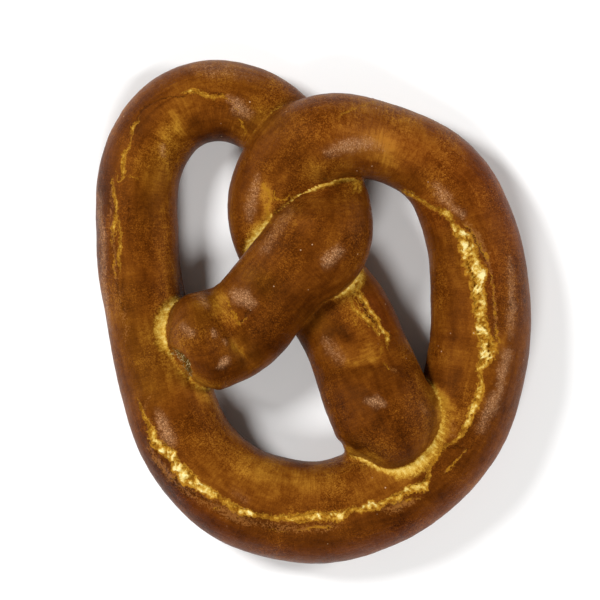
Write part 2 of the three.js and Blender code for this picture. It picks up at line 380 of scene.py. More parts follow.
FAR = 9.0  # stands for any distance too great to matter
RAGGED = [(3.0, 0.55, 2), (1.1, 0.3, 1)]  # size of the waves, how far they reach, octaves
RAGGED_APART = (0.0, 50.0)  # where in the noise the shifts along x and along y are read
OVER_EASE = 0.5  # difference in lift that makes a strand the upper one
FACING_UP = (0.05, 0.35)  # a normal's z where marks start to show, and where they show in full
THINNEST = 0.05  # half width under which a line isn't there
NARROWEST_CREASE, NARROWEST_BAND = 0.2, 0.1  # half widths in use where a path gives less
CREASE_RAGGED = 0.3  # how much the grain widens and narrows a crease's colour


def seen_from_above(points):
    """Plan places where the camera sees points, on the level that the photo's steps are measured on."""
    centre = photo_to_plan((PHOTO_SIDE / 2, PHOTO_SIDE / 2))
    growth = (CAMERA_HEIGHT - CAMERA_LEVEL) / (CAMERA_HEIGHT - points[:, 2:])
    return centre + (points[:, :2] - centre) * growth


def grain_of(points, size, octaves=1):
    """Noise of about -1 to 1 at places, with a grain of that size in millimetres."""
    places = (points / size).tolist()
    if octaves == 1:
        return np.array([noise.noise(place) for place in places])
    return np.array([noise.fractal(place, 1.0, 2.0, octaves) for place in places])


def ragged_shift(points):
    """How far the marks stray from their listed paths, so that no edge runs smooth."""
    shifts = [
        sum(reach * grain_of(points + apart, size, octaves) for size, reach, octaves in RAGGED)
        for apart in RAGGED_APART
    ]
    return np.stack(shifts, axis=1)


class Skin:
    """Points of the skin, with where each lies on the rope."""

    def __init__(self, points, triangles):
        self.points, self.triangles = points, triangles
        self.normals = normals_of(points, triangles)
        self.seen = seen_from_above(points) + ragged_shift(points)
        places = [strand.place(points[:, :2]) for strand in STRANDS]
        found = [depth_of(place, points[:, 2]) for place in places]
        depths = np.stack([np.abs(depth) for depth, _ in found])
        distances = np.stack([place[DISTANCE] + place[BEYOND] for place in places])
        lifts = np.stack([place[LIFT] for place in places])
        pick = depths.argmin(axis=0), np.arange(len(points))
        self.distance = distances[pick]
        self.angle = np.stack([angle for _, angle in found])[pick]
        self.reach = np.stack([place[WIDTH] for place in places])[pick] / 2
        apart = np.where(np.abs(distances - self.distance) > NEIGHBOURS[1], depths, FAR)
        self.crease = np.minimum(apart.min(axis=0), FAR)
        other = apart.argmin(axis=0), pick[1]
        self.over = smooth(-OVER_EASE, OVER_EASE, lifts[pick] - lifts[other])
        self.up = smooth(*FACING_UP, self.normals[:, 2])
        round_rope = self.reach * np.cos(self.angle), self.reach * np.sin(self.angle)
        self.rolled = np.stack([self.distance, *round_rope], axis=1)


MARK_REACH = 14.0  # how far beyond its path's box a mark may show


def near_path(seen, path):
    """Distance of seen places from a path, signed by side, and the path's last columns there."""
    path = np.asarray(path, float)
    line = photo_to_plan(path[:, :2])
    best = np.full(len(seen), FAR)
    extra = np.zeros((len(seen), path.shape[1] - 2))
    close = ((seen > line.min(axis=0) - MARK_REACH) & (seen < line.max(axis=0) + MARK_REACH)).all(axis=1)
    index = np.flatnonzero(close)
    for i in range(len(line) - 1):
        run = line[i + 1] - line[i]
        offset = seen[index] - line[i]
        share = np.clip(offset @ run / (run @ run), 0.0, 1.0)
        away = np.linalg.norm(offset - share[:, None] * run, axis=1)
        nearer = away < np.abs(best[index])
        rows = index[nearer]
        side = np.sign(run[0] * offset[nearer, 1] - run[1] * offset[nearer, 0])
        best[rows] = away[nearer] * np.where(side == 0, 1, side)
        extra[rows] = path[i, 2:] + share[nearer][:, None] * (path[i + 1, 2:] - path[i, 2:])
    return best, extra


def nearest_line(skin, paths, reach):
    """Signed distance from the lines that cover each point best, their half width and last column."""
    found = np.stack([np.full(len(skin.points), FAR), *np.zeros((2, len(skin.points)))])
    best = np.full(len(skin.points), -reach)
    closest = np.full(len(skin.points), FAR)
    for path in paths:
        away, extra = near_path(skin.seen, path)
        nearer = (np.abs(away) < closest) & (best <= -reach)
        closest[nearer] = np.abs(away[nearer])
        found[0, nearer] = np.copysign(FAR, away[nearer])
        half = extra[:, 0] * skin.up
        lead = np.where(half > THINNEST, half - np.abs(away), -FAR)
        better = lead > best
        best[better] = lead[better]
        found[:, better] = np.stack([away, half, extra[:, 1]])[:, better]
    return found


CREASE_REACH = (3.0, 6.0)  # how far a crease may lie from the path that colours it
OVER_SHARE = 0.8  # how much less of the colour the upper strand takes


def paint_creases(skin, paths):
    """How strongly the creases between strands are coloured, along the paths that follow them."""
    cover = np.zeros(len(skin.points))
    for path in paths:
        away, extra = near_path(skin.seen, path)
        breadth = np.maximum(extra[:, 0], NARROWEST_CREASE) * (1 + CREASE_RAGGED * skin.grain)
        breadth *= 1 - OVER_SHARE * skin.over
        near = 1 - smooth(*CREASE_REACH, np.abs(away))
        cover = np.maximum(cover, near * extra[:, 1] * np.exp(-((skin.crease / breadth) ** 2)))
    return cover * skin.up


def soft_band(skin, path, ragged=0.0):
    """How strongly one band counts at each point: its path has rows of x, y, half width, strength."""
    away, extra = near_path(skin.seen, path)
    breadth = np.maximum(extra[:, 0], NARROWEST_BAND) * (1 + ragged * skin.grain)
    return extra[:, 1] * np.exp(-((away / breadth) ** 2))


def paint_bands(skin, paths, ragged=0.0):
    """How strongly soft bands cover each point, the strongest counting."""
    cover = np.zeros(len(skin.points))
    for path in paths:
        cover = np.maximum(cover, soft_band(skin, path, ragged))
    return cover * skin.up


def paint_tones(skin, paths):
    """The sum of broad bands that each change the crust a little."""
    return sum(soft_band(skin, path) for path in paths)


# Marks on the crust, given in the photo's steps.
BURSTS = [  # x, y, half gape in mm, and how much pale crumb shows
    [(140, 404, 0.3, 0.1), (144, 415, 0.45, 0.3), (150, 425, 0.65, 0.4), (152, 433, 0.9, 0.6),
     (154, 440, 1.05, 0.8), (158, 445, 1.2, 0.9), (165, 450, 1.45, 1), (171, 455, 1.45, 1),
     (174, 460, 0.8, 0.5), (179, 468, 1.5, 1), (184, 475, 1.6, 1), (189, 479, 1.5, 0.9),
     (196, 483, 1.45, 0.75), (202, 487, 1.15, 0.9), (209, 491, 0.9, 0.8), (214, 495, 1, 0.6),
     (219, 499, 0.45, 0.3), (227, 503, 0.55, 0.35), (235, 508, 0.75, 0.5), (243, 511.5, 0.95, 0.9),
     (250, 513, 0.8, 0.9), (257, 515.5, 0.45, 0.3), (264, 517, 0.35, 0.2), (274, 518, 0.6, 0.4),
     (284, 518.5, 0.7, 0.45), (294, 519, 0.85, 0.45), (305, 518, 0.9, 0.45), (315, 516, 1, 0.7),
     (320, 516, 1, 0.8), (326, 515.5, 0.8, 0.4), (331, 517, 0.95, 0.7), (337, 516.5, 1, 0.8),
     (343, 515, 0.8, 0.5), (348, 512, 0.75, 0.4), (354, 509, 0.55, 0.3), (362, 510, 0.75, 0.7),
     (367, 507, 0.95, 0.9), (372, 505, 0.95, 0.9), (379, 505.5, 0.75, 0.8), (385, 502.5, 0.4, 0.3),
     (391, 499.5, 0.8, 0.5), (397, 498, 0.9, 0.5), (402, 494.5, 0.75, 0.6), (407, 489.5, 0.75, 0.7),
     (412, 488.5, 0.75, 0.7), (419, 488, 1.05, 1), (424, 486, 0.9, 0.8), (427, 482, 0.45, 0.3),
     (429, 476, 0.5, 0.6), (430, 470, 0.3, 0.3)],  # bottom
    # right side
    [(442, 447, 0.25, 0.2), (452, 443, 0.25, 0.2), (460, 436, 0.35, 0.4), (465, 430, 0.4, 0.4),
     (468, 423, 0.65, 0.7), (471, 413, 0.8, 0.9), (475, 405, 0.75, 0.8), (479, 394, 0.8, 0.85),
     (481, 385, 0.65, 0.6), (479, 377, 0.35, 0.3), (480, 368, 0.55, 0.4), (484, 362, 1.35, 0.9),
     (487, 355, 1.95, 1), (487, 345, 1.95, 1), (484, 337, 1.2, 0.6), (482, 329, 1.8, 1),
     (481, 321, 1.35, 0.6), (479, 312, 1.35, 0.55), (480, 304, 1.5, 0.75), (478, 293, 1.35, 0.8),
     (477, 283, 1.8, 0.9), (478, 275, 2.2, 1), (474, 268, 2.1, 1), (471, 258, 1.65, 0.5),
     (468, 250, 2, 0.9), (466, 242, 1.8, 0.8), (461, 234, 1.3, 1), (455, 228, 0.8, 0.8),
     (451, 221, 0.4, 0.2), (448, 213.5, 0.65, 0.6), (443, 211.5, 0.75, 0.5), (436, 209, 0.5, 0.35),
     (428, 205, 0.3, 0.2), (418, 199, 0.4, 0.3), (410, 194.5, 0.35, 0.3), (402, 190.5, 0.25, 0.2)],
    [(137, 121, 0.2, 0.2), (133, 128, 0.3, 0.5), (131.5, 134, 0.2, 0.2)],
    [(129, 146, 0.2, 0.3), (125, 154, 0.35, 0.5), (124, 161, 0.4, 0.5), (123, 169, 0.45, 0.5),
     (122, 178, 0.25, 0.3)],
    [(113, 182, 0.15, 0.2), (115, 197, 0.25, 0.3), (116, 204, 0.3, 0.5), (117, 212, 0.25, 0.3),
     (115, 220, 0.35, 0.5), (113.5, 227, 0.35, 0.5), (111.5, 235, 0.15, 0.2)],
    [(120, 222, 0.15, 0.2), (121, 235, 0.25, 0.3), (120, 245, 0.3, 0.4), (119, 255, 0.3, 0.4),
     (119, 266, 0.15, 0.2)],
    [(184, 92, 0.2, 0.3), (192, 90.5, 0.4, 0.6), (198, 91.5, 0.3, 0.4), (206, 95, 0.35, 0.4),
     (214, 97.5, 0.4, 0.4), (222, 96, 0.2, 0.2)],  # arch
    [(357, 283, 0.4, 0.4), (358, 292, 0.5, 0.6), (361, 298, 0.6, 0.6), (366, 305, 0.45, 0.5),
     (371, 311, 0.35, 0.5), (375, 316, 0.35, 0.5), (378, 323, 0.5, 0.6), (382, 330, 0.4, 0.6),
     (386, 335, 0.45, 0.6), (388, 339, 0.35, 0.6), (388, 343, 0.3, 0.3)],  # down the right tail
    [(350, 298, 0.25, 0.2), (354, 308, 0.3, 0.3), (359, 314, 0.35, 0.3), (364, 315, 0.4, 0.4),
     (368, 321, 0.4, 0.4), (372, 325, 0.4, 0.3), (376, 331, 0.3, 0.2)],
]
GOLD_LINES = [  # x, y, half width in mm, strength
    [(263, 183, 0.4, 0.6), (268, 192, 0.6, 0.8), (271, 200, 0.5, 0.8), (267, 207, 0.6, 0.9),
     (267, 213, 0.5, 0.9), (270, 221, 0.6, 0.9)],
    [(274, 192, 0.3, 0.6), (277, 198, 0.5, 0.8), (282, 200, 0.5, 0.8), (289, 197, 0.4, 0.7)],
    [(255, 226, 0.3, 0.4), (260, 222, 0.3, 0.5), (264, 216, 0.3, 0.4)],
    [(381, 341, 0.3, 0.6), (382, 350, 0.35, 0.8), (380, 356, 0.3, 0.6), (375, 358, 0.3, 0.5)],
    [(352, 318, 0.3, 0.4), (360, 330, 0.3, 0.4), (366, 343, 0.25, 0.3)],
    [(384, 361, 0.3, 0.5), (388, 368, 0.4, 0.5)],
    [(424, 487, 0.4, 0.6), (428, 479, 0.5, 0.8), (429, 472, 0.5, 0.8), (433, 464, 0.4, 0.7),
     (438, 455, 0.5, 0.7), (441, 447, 0.5, 0.7)],
    [(234, 343, 0.3, 0.4), (239, 347, 0.4, 0.6), (244, 353, 0.4, 0.6), (248, 359, 0.3, 0.4)],
    [(225, 297, 0.3, 0.5), (229, 305, 0.3, 0.5), (233, 313, 0.35, 0.5), (236, 322, 0.35, 0.5),
     (240, 325, 0.35, 0.5), (246, 317, 0.25, 0.3)],
    [(222, 95, 0.3, 0.5), (230, 100, 0.3, 0.4), (236, 110, 0.35, 0.5), (241, 125, 0.5, 0.6),
     (246, 133, 0.3, 0.4)],
    [(122, 177, 0.25, 0.6), (132, 176, 0.3, 0.6), (139, 178, 0.3, 0.5)],
    [(111, 240, 0.25, 0.4), (114, 250, 0.25, 0.3), (114, 262, 0.3, 0.5), (115, 275, 0.25, 0.3)],
    [(463, 222, 0.3, 0.4), (472, 231, 0.35, 0.5), (480, 243, 0.35, 0.5), (485, 254, 0.5, 0.9),
     (489, 264, 0.3, 0.45), (492, 280, 0.25, 0.4), (493, 298, 0.3, 0.5), (495, 312, 0.3, 0.5),
     (497, 325, 0.25, 0.4), (496, 336, 0.5, 0.9), (499, 343, 0.4, 0.6)],
    [(270, 530, 0.2, 0.2), (290, 531, 0.25, 0.3), (306, 529, 0.3, 0.35), (322, 527, 0.5, 0.6),
     (332, 527, 0.3, 0.4)],
    [(290, 514, 0.3, 0.6), (300, 514.5, 0.35, 0.6), (309, 512, 0.3, 0.5)],
    [(214, 509, 0.4, 0.6), (221, 508.5, 0.4, 0.5)],
    [(380, 514, 0.3, 0.4), (392, 510, 0.35, 0.5), (402, 504, 0.4, 0.5), (407, 500, 0.6, 0.7),
     (419, 499, 0.3, 0.5)],
    [(444, 474, 0.3, 0.5), (449, 468, 0.5, 0.7), (456, 460, 0.4, 0.6), (465, 451, 0.3, 0.5)],
    [(338, 118, 0.3, 0.3), (346, 113, 0.4, 0.5), (352, 110, 0.4, 0.4), (360, 106, 0.3, 0.4),
     (368, 104, 0.3, 0.4), (378, 103, 0.25, 0.3)],
]
# Thin cracks, cut in a little and painted near-black as the shade inside them: x, y, half width in mm,
# strength
CRACK_SHADE_LINES = [
    [(225, 95, 0.3, 0.5), (205, 91, 0.3, 0.5), (186, 95, 0.3, 0.7), (170, 97, 0.35, 0.8),
     (156, 101, 0.3, 0.8), (145, 106, 0.3, 0.7), (139, 114, 0.3, 0.7), (136, 122, 0.3, 0.5)],
    [(441, 444, 0.4, 0.7), (450, 448, 0.4, 0.9), (459, 446, 0.5, 0.9), (466, 450, 0.4, 0.7),
     (474, 444, 0.4, 0.5)],
    [(240, 321, 0.5, 0.7), (246, 313, 0.5, 0.7), (254, 308, 0.3, 0.4)],
    [(466, 227, 0.3, 0.6), (474, 236, 0.4, 0.8), (481, 248, 0.4, 0.7), (485, 262, 0.3, 0.5),
     (487, 274, 0.25, 0.3)],
    [(172, 478, 0.3, 0.7), (184, 487, 0.3, 0.7), (198, 496, 0.3, 0.7), (212, 501, 0.3, 0.6),
     (230, 509, 0.3, 0.6), (240, 516, 0.3, 0.6), (256, 520, 0.25, 0.4)],
    [(382, 508, 0.3, 0.6), (396, 502, 0.35, 0.7), (406, 494, 0.35, 0.7), (416, 492, 0.3, 0.6),
     (428, 487, 0.3, 0.5)],
    [(361, 300, 0.4, 0.6), (366, 312, 0.5, 0.7), (373, 320, 0.5, 0.6)],
    [(117, 281, 0.3, 0.4), (120, 300, 0.3, 0.5), (124, 312, 0.3, 0.4)],
]
CREASES = [  # x, y, width of the gold in mm, strength
    [(241, 256, 1.6, 1.1), (250, 246, 2.4, 1.2), (258, 236, 2.8, 1.2), (265, 227, 2.2, 1.1),
     (270, 220, 1.6, 1), (278, 210, 1.1, 0.7), (285, 202, 1.2, 0.8), (295, 196, 1.5, 1.1),
     (305, 190, 1.8, 1.2), (315, 185, 1.9, 1.2), (325, 181, 1.8, 1.2), (335, 180, 1.6, 1.1),
     (345, 180, 1.6, 1), (352, 182, 1.7, 1), (360, 187, 1, 0.9)],
    [(371, 261, 1.8, 1.1), (362, 270, 3, 1.1), (355, 276, 3.6, 1.1), (350, 280, 3.6, 1.1),
     (340, 287, 2.4, 1), (333, 293, 1.2, 0.8), (327, 298, 0.6, 0.5)],  # below the diagonal
    [(424, 376, 0.8, 0.8), (432, 387, 1.9, 1), (437, 396, 2.2, 1), (438, 409, 2.6, 1.1),
     (438, 420, 2.8, 1.1), (437, 432, 3.2, 1), (432, 443, 4, 1), (423, 455, 5, 1), (412, 463, 5.2, 1),
     (400, 465, 4.6, 1), (390, 463, 2.6, 1), (373, 459, 2.4, 1.1), (357, 454, 2.4, 1.1),
     (341, 447, 2.4, 1)],  # round the ball
    [(174, 353, 1, 0.4), (182, 361, 1.2, 0.5), (190, 370, 1.8, 0.8), (198, 380, 2.2, 0.9),
     (207, 386, 2.4, 0.9), (214, 390, 2.4, 0.9), (218, 394, 1.4, 0.7)],  # below the left knob
    [(183, 297, 1.4, 1), (176, 305, 2.6, 1), (171, 314, 4.2, 1), (168, 322, 5.6, 1), (168, 332, 5.6, 1),
     (169, 342, 4.4, 1), (172, 349, 2.2, 0.8), (176, 356, 1.4, 0.6)],  # left of the left knob
    [(306, 98, 0.4, 0.6), (290, 110, 0.6, 0.6), (280, 116, 0.9, 0.8), (268, 124, 0.7, 0.7),
     (258, 134, 0.6, 0.6), (244, 150, 0.6, 0.5)],  # the top strand over the arch
]
PALE_CREASES = [
    [(241, 255, 1.2, 0.8), (250, 246, 2.2, 1), (258, 236, 2.4, 1), (266, 226, 1.5, 0.8)],
    [(292, 197, 1, 0.8), (303, 191, 1.4, 1.2), (315, 185, 1.5, 1.2), (325, 181, 1.3, 1),
     (336, 180, 0.9, 0.7)],
    [(368, 264, 1.2, 0.7), (355, 276, 1.8, 0.7), (342, 286, 1.4, 0.6)],
    [(427, 380, 1.2, 0.6), (437, 396, 1.6, 0.8), (438, 409, 1.4, 0.8), (438, 428, 1.5, 0.8),
     (434, 440, 1.5, 0.7)],
    [(429, 447, 2.2, 0.5), (422, 455, 3.8, 0.65), (412, 463, 4.6, 0.75), (402, 465, 4, 0.75),
     (394, 464, 1.8, 0.7)],
    [(388, 464, 1.3, 0.7), (373, 459, 1.7, 1), (358, 453, 1.8, 1), (344, 447, 1.5, 0.9)],
    [(178, 302, 1.6, 0.8), (172, 312, 3.2, 0.75), (168, 322, 4.2, 0.7), (168, 332, 4.4, 0.7),
     (169, 342, 3.8, 0.8), (172, 348, 1.4, 0.5)],
    [(192, 373, 0.8, 0.5), (203, 384, 1, 0.6), (212, 389, 1, 0.4)],
]
GOLD_BANDS = [  # thin, streaky golden crust
    [(171, 113, 1.6, 0.7), (175, 123, 1.5, 1), (181, 134, 1.2, 0.8)],
    [(160, 116, 3.5, 0.3), (166, 126, 3.2, 0.7), (164, 145, 2.6, 0.7), (163, 158, 3, 0.4)],
    [(164, 165, 3, 0.3), (164, 200, 3, 0.2), (163, 240, 3, 0.12), (166, 280, 2.4, 0.15)],
    [(186, 110, 3, 0.35), (205, 112, 3, 0.12), (228, 118, 3, 0.2), (243, 138, 3, 0.4)],
    [(370, 135, 2.6, 0.5), (378, 138, 3.4, 0.9), (387, 148, 3.2, 0.9), (386, 162, 2.8, 0.5)],
    [(330, 105, 4, 0.25), (355, 115, 4, 0.3), (400, 120, 5, 0.25), (420, 140, 5, 0.2)],
    [(434, 386, 1.2, 0.7), (444, 398, 1.6, 0.9), (450, 408, 1.8, 0.9), (454, 418, 2.6, 0.8)],
    [(443, 404, 1.8, 0.7), (447, 416, 2.6, 0.8), (449, 426, 3, 0.8), (443, 438, 2.4, 0.8)],
    [(218, 297, 1.8, 0.8), (222, 308, 2.4, 0.9), (229, 316, 2.4, 0.8), (234, 322, 1.4, 0.6)],
    [(231, 338, 0.8, 0.4), (238, 346, 1.3, 0.9), (243, 353, 1.2, 0.8), (248, 360, 0.8, 0.4)],
    [(205, 395, 3, 0.4), (222, 412, 3, 0.25), (240, 435, 3, 0.25)],
    [(168, 356, 2, 0.5), (176, 366, 2, 0.5), (188, 378, 2.4, 0.5), (200, 388, 2.4, 0.6)],
    [(345, 362, 1.2, 0.4), (360, 359, 1.6, 0.7), (374, 357, 1.4, 0.7)],  # neck
    [(345, 456, 2, 0.4), (365, 464, 2.6, 0.15), (388, 474, 2.8, 0.25), (405, 481, 2, 0.3)],
    [(342, 448, 0.9, 0.9), (350, 451, 1.2, 1), (360, 454, 1.2, 1), (372, 457, 1, 0.9),
     (384, 461, 0.8, 0.6)],
    [(345, 297, 2.6, 0.5), (352, 312, 2.6, 0.25), (362, 330, 2.6, 0.3), (370, 348, 2.6, 0.7)],
    [(264, 188, 1.8, 0.7), (269, 204, 1.8, 0.8), (262, 220, 1.8, 0.7), (250, 232, 1.6, 0.6)],
    [(296, 452, 2, 0.2), (250, 462, 4, 0.35), (290, 478, 4, 0.35), (330, 482, 4, 0.3)],
    [(346, 190, 2.4, 0.4), (354, 205, 2.4, 0.4), (356, 220, 2.4, 0.2)],
]
# The bands below are partly browning and partly painted light: painted shade under the diagonal strand's
# overhang, round the ball's neck, along the holes' inner edges and on flanks and rims turned from the
# lights, and painted highlight on the arch top, the bends and the loop top.
TONES_AND_PAINTED_LIGHT = [  # broad changes: x, y, half width in mm, change
    [(352, 446, 1.8, -0.12), (366, 450, 2, -0.15), (380, 456, 1.6, -0.1)],
    [(441, 402, 1.4, 0.1), (443, 418, 1.4, 0.1)],
    [(425, 410, 2, 0.06), (427, 425, 2, 0.06)],
    [(205, 462, 3, 0.1), (222, 482, 3, 0.1), (240, 497, 3, 0.1), (265, 503, 3, 0.06)],
    [(375, 492, 3, 0.08), (350, 500, 3, 0.06)],
    [(474, 474, 4, 0.05), (452, 490, 4, 0.12), (436, 506, 4, 0.08)],
    [(425, 408, 2.4, 0.1), (426, 424, 2.4, 0.1), (418, 438, 3, 0.08), (400, 448, 3, 0.1),
     (378, 446, 3, 0.08)],
    [(252, 86, 3, 0.08), (257, 114, 3.5, 0.16), (266, 124, 3, 0.1)],
    [(287, 178, 3, 0.12), (318, 170, 3, 0.1), (340, 172, 3, 0.06)],
    [(290, 212, 3.5, 0.16), (318, 204, 3.5, 0.18), (342, 204, 3.5, 0.18)],
    [(366, 250, 3, 0.16), (352, 268, 3, 0.18), (336, 280, 3, 0.14)],
    [(345, 101, 3, 0.08), (360, 101, 3, 0.12), (392, 107, 3, 0.1)],
    [(150, 180, 4, 0.07), (150, 196, 4, 0.07)],
    [(147, 290, 4, 0.08), (150, 325, 4, 0.14), (154, 355, 4.5, 0.2), (165, 378, 4, 0.1)],
    [(190, 372, 3, 0.14), (206, 392, 4, 0.18), (186, 392, 4, 0.1)],
    [(227, 450, 4, 0.06), (267, 497, 4, 0.07)],
    [(412, 345, 3, 0.14), (404, 352, 3, 0.14), (420, 372, 3, 0.18), (430, 392, 3, 0.14)],
    [(312, 325, 3, 0.12), (322, 312, 3, 0.1)],
    [(330, 367, 3, 0.06), (383, 357, 3.5, 0.1)],
    [(420, 170, 3.5, 0.08), (463, 236, 3, 0.06), (467, 280, 3, 0.06)],
    [(462, 352, 4, 0.12), (470, 372, 4, 0.1)],
    [(104, 150, 3, -0.12), (102, 190, 3, -0.2), (103, 225, 3, -0.2), (106, 260, 3, -0.1)],
    [(135, 415, 4, -0.1), (150, 456, 5, -0.18), (165, 482, 5, -0.2), (182, 505, 5, -0.2),
     (205, 522, 5, -0.12)],
    [(347, 387, 4, -0.09), (336, 396, 3, -0.06)],
    [(433, 372, 1.6, -0.05), (447, 388, 3, -0.1)],
    [(215, 455, 5, 0.1), (245, 468, 5, 0.14), (278, 482, 5, 0.14), (318, 487, 5, 0.1),
     (356, 480, 5, 0.08)],
    [(436, 400, 3, 0.1), (440, 360, 4, 0.06), (440, 300, 4, 0)],
    [(470, 395, 4, 0.05), (470, 330, 4, 0.06), (462, 260, 4, 0.06), (440, 210, 4, 0)],
    [(255, 345, 4, -0.12), (275, 325, 5, -0.14), (300, 300, 5, -0.16), (325, 278, 4, -0.14),
     (345, 262, 3, -0.08)],
    [(262, 290, 4, -0.03), (300, 255, 5, -0.06), (330, 235, 4, -0.04)],
    [(215, 378, 3, -0.2), (235, 370, 3, -0.2), (255, 360, 3, -0.1)],
    [(345, 425, 4, -0.08), (370, 430, 6, -0.12), (400, 430, 6, -0.12), (420, 420, 4, -0.06)],
    [(345, 400, 4, -0.06), (385, 385, 4, -0.08), (415, 390, 4, -0.06)],
    [(330, 345, 5, 0.08), (365, 345, 5, 0.06)],
    [(252, 175, 5, 0.08), (258, 205, 5, 0.1)],
    [(318, 165, 4, 0.08), (322, 185, 4, 0.04)],
    [(340, 120, 5, 0.1), (380, 130, 5, 0.15), (410, 150, 5, 0.12)],
    [(345, 148, 4, 0.08), (365, 145, 4, 0.1), (385, 150, 3, 0.06)],
    [(452, 338, 1.8, -0.14), (468, 346, 1.8, -0.12)],
    [(180, 335, 4, 0.1), (195, 325, 4, 0.08), (210, 340, 4, 0.04)],
    [(105, 180, 2.5, 0), (104, 240, 2.5, 0.02), (112, 320, 2.5, 0)],
    [(180, 490, 3, -0.04), (240, 530, 4, -0.1), (330, 542, 4, -0.12), (400, 520, 4, -0.1),
     (450, 490, 4, -0.12), (490, 440, 3, -0.06), (520, 380, 3, -0.04), (522, 300, 3, -0.04)],
    [(142, 200, 5, -0.07), (146, 260, 6, -0.11), (146, 320, 6, -0.08), (152, 380, 5, -0.09),
     (180, 425, 5, -0.03)],
    [(185, 120, 4, -0.1), (205, 118, 4, -0.14), (222, 118, 4, -0.16), (245, 130, 3, -0.08)],
    [(200, 75, 4, 0.2), (225, 76, 4, 0.22), (180, 82, 3, 0.1)],
    [(345, 205, 4, -0.16), (350, 225, 4, -0.2), (350, 245, 4, -0.14)],
    [(445, 495, 4, -0.1), (460, 478, 4, -0.08)],
    [(300, 345, 3, -0.15), (285, 350, 3, -0.2)],
    [(375, 395, 5, -0.07), (385, 420, 7, -0.08), (405, 445, 5, -0.05)],
    [(235, 63, 4, 0.05), (265, 78, 5, 0.08), (285, 95, 5, 0.05)],
    [(415, 125, 5, 0.08), (450, 160, 5, 0.08), (478, 200, 5, 0.05)],
    [(305, 330, 3, -0.15), (325, 310, 3, -0.1), (340, 300, 2, 0)],
    [(321, 337, 1.8, -0.12), (335, 329, 2.2, -0.22), (348, 336, 2, -0.28)],
    [(330, 374, 2.2, -0.1), (345, 367, 2.2, -0.13), (365, 364, 2.2, -0.13), (388, 366, 2.2, -0.12),
     (410, 374, 2.2, -0.1)],
    [(410, 366, 2, -0.1), (432, 372, 2.6, -0.15), (440, 385, 2, -0.1)],
    [(200, 138, 2.6, -0.2), (214, 136, 2.4, -0.18), (232, 138, 2.6, -0.18)],
]
HUES = [  # broad changes from reddish (below 0) to yellowish brown: x, y, half width in mm, change
    [(252, 276, 4, 0.16), (264, 284, 4, 0.16)],  # beside the creases and webs
    [(238, 346, 4, 0.16), (248, 358, 4, 0.16)],
    [(355, 447, 3, 0.12), (375, 456, 3, 0.12)],
    [(438, 400, 3, 0.14), (436, 428, 3, 0.14)],
    [(310, 318, 4, 0.1), (324, 328, 4, 0.1)],
    [(428, 206, 4, -0.12), (440, 220, 4, -0.12)],  # redder inner sides
    [(372, 300, 4, -0.14), (384, 326, 4, -0.14)],
    [(308, 197, 3, -0.08), (324, 190, 3, -0.08)],
    [(180, 130, 5, 0.1), (155, 180, 6, 0.16), (150, 215, 5, 0.08)],
    [(250, 120, 5, 0.12), (275, 122, 4, 0.1)],
    [(120, 290, 6, 0.08), (130, 330, 6, 0.12), (147, 385, 6, 0.16)],
    [(190, 330, 6, 0.1), (213, 300, 5, 0.12)],
    [(330, 128, 7, -0.08), (397, 143, 6, -0.14), (440, 150, 7, -0.12), (480, 185, 7, -0.14),
     (500, 230, 6, -0.1), (493, 270, 6, -0.12), (480, 320, 5, -0.06)],
    [(125, 450, 3, -0.1), (150, 500, 4, -0.16), (185, 500, 4, -0.12), (240, 550, 4, -0.1),
     (320, 560, 3, -0.1), (380, 548, 4, -0.15), (440, 520, 4, -0.14), (480, 480, 3, -0.1),
     (512, 430, 3, -0.06)],
    [(470, 140, 3, -0.1), (505, 190, 3, -0.14), (522, 250, 3, -0.08)],
]
DENTS = [  # soft valleys: x, y, half width, depth in mm
    [(212, 294, 2.6, 0.7), (219, 307, 2.8, 1.5), (229, 324, 2.6, 2.1), (239, 342, 2.2, 2.2),
     (249, 360, 1.8, 1.4)],
    [(312, 372, 2.4, 0.4), (328, 366, 3, 0.7), (348, 362, 3.4, 0.8), (368, 361, 3.4, 0.75),
     (390, 363, 3, 0.6), (408, 368, 2.4, 0.4)],
    [(322, 326, 2.2, 0.3), (338, 329, 2.4, 0.7), (350, 336, 2.4, 0.5)],
    [(240, 322, 0.8, 0.6), (246, 313, 0.9, 0.7), (253, 308, 0.7, 0.4)],
    [(441, 444, 0.7, 0.4), (450, 448, 0.7, 0.6), (460, 446, 0.9, 0.7), (467, 450, 0.7, 0.4)],
]
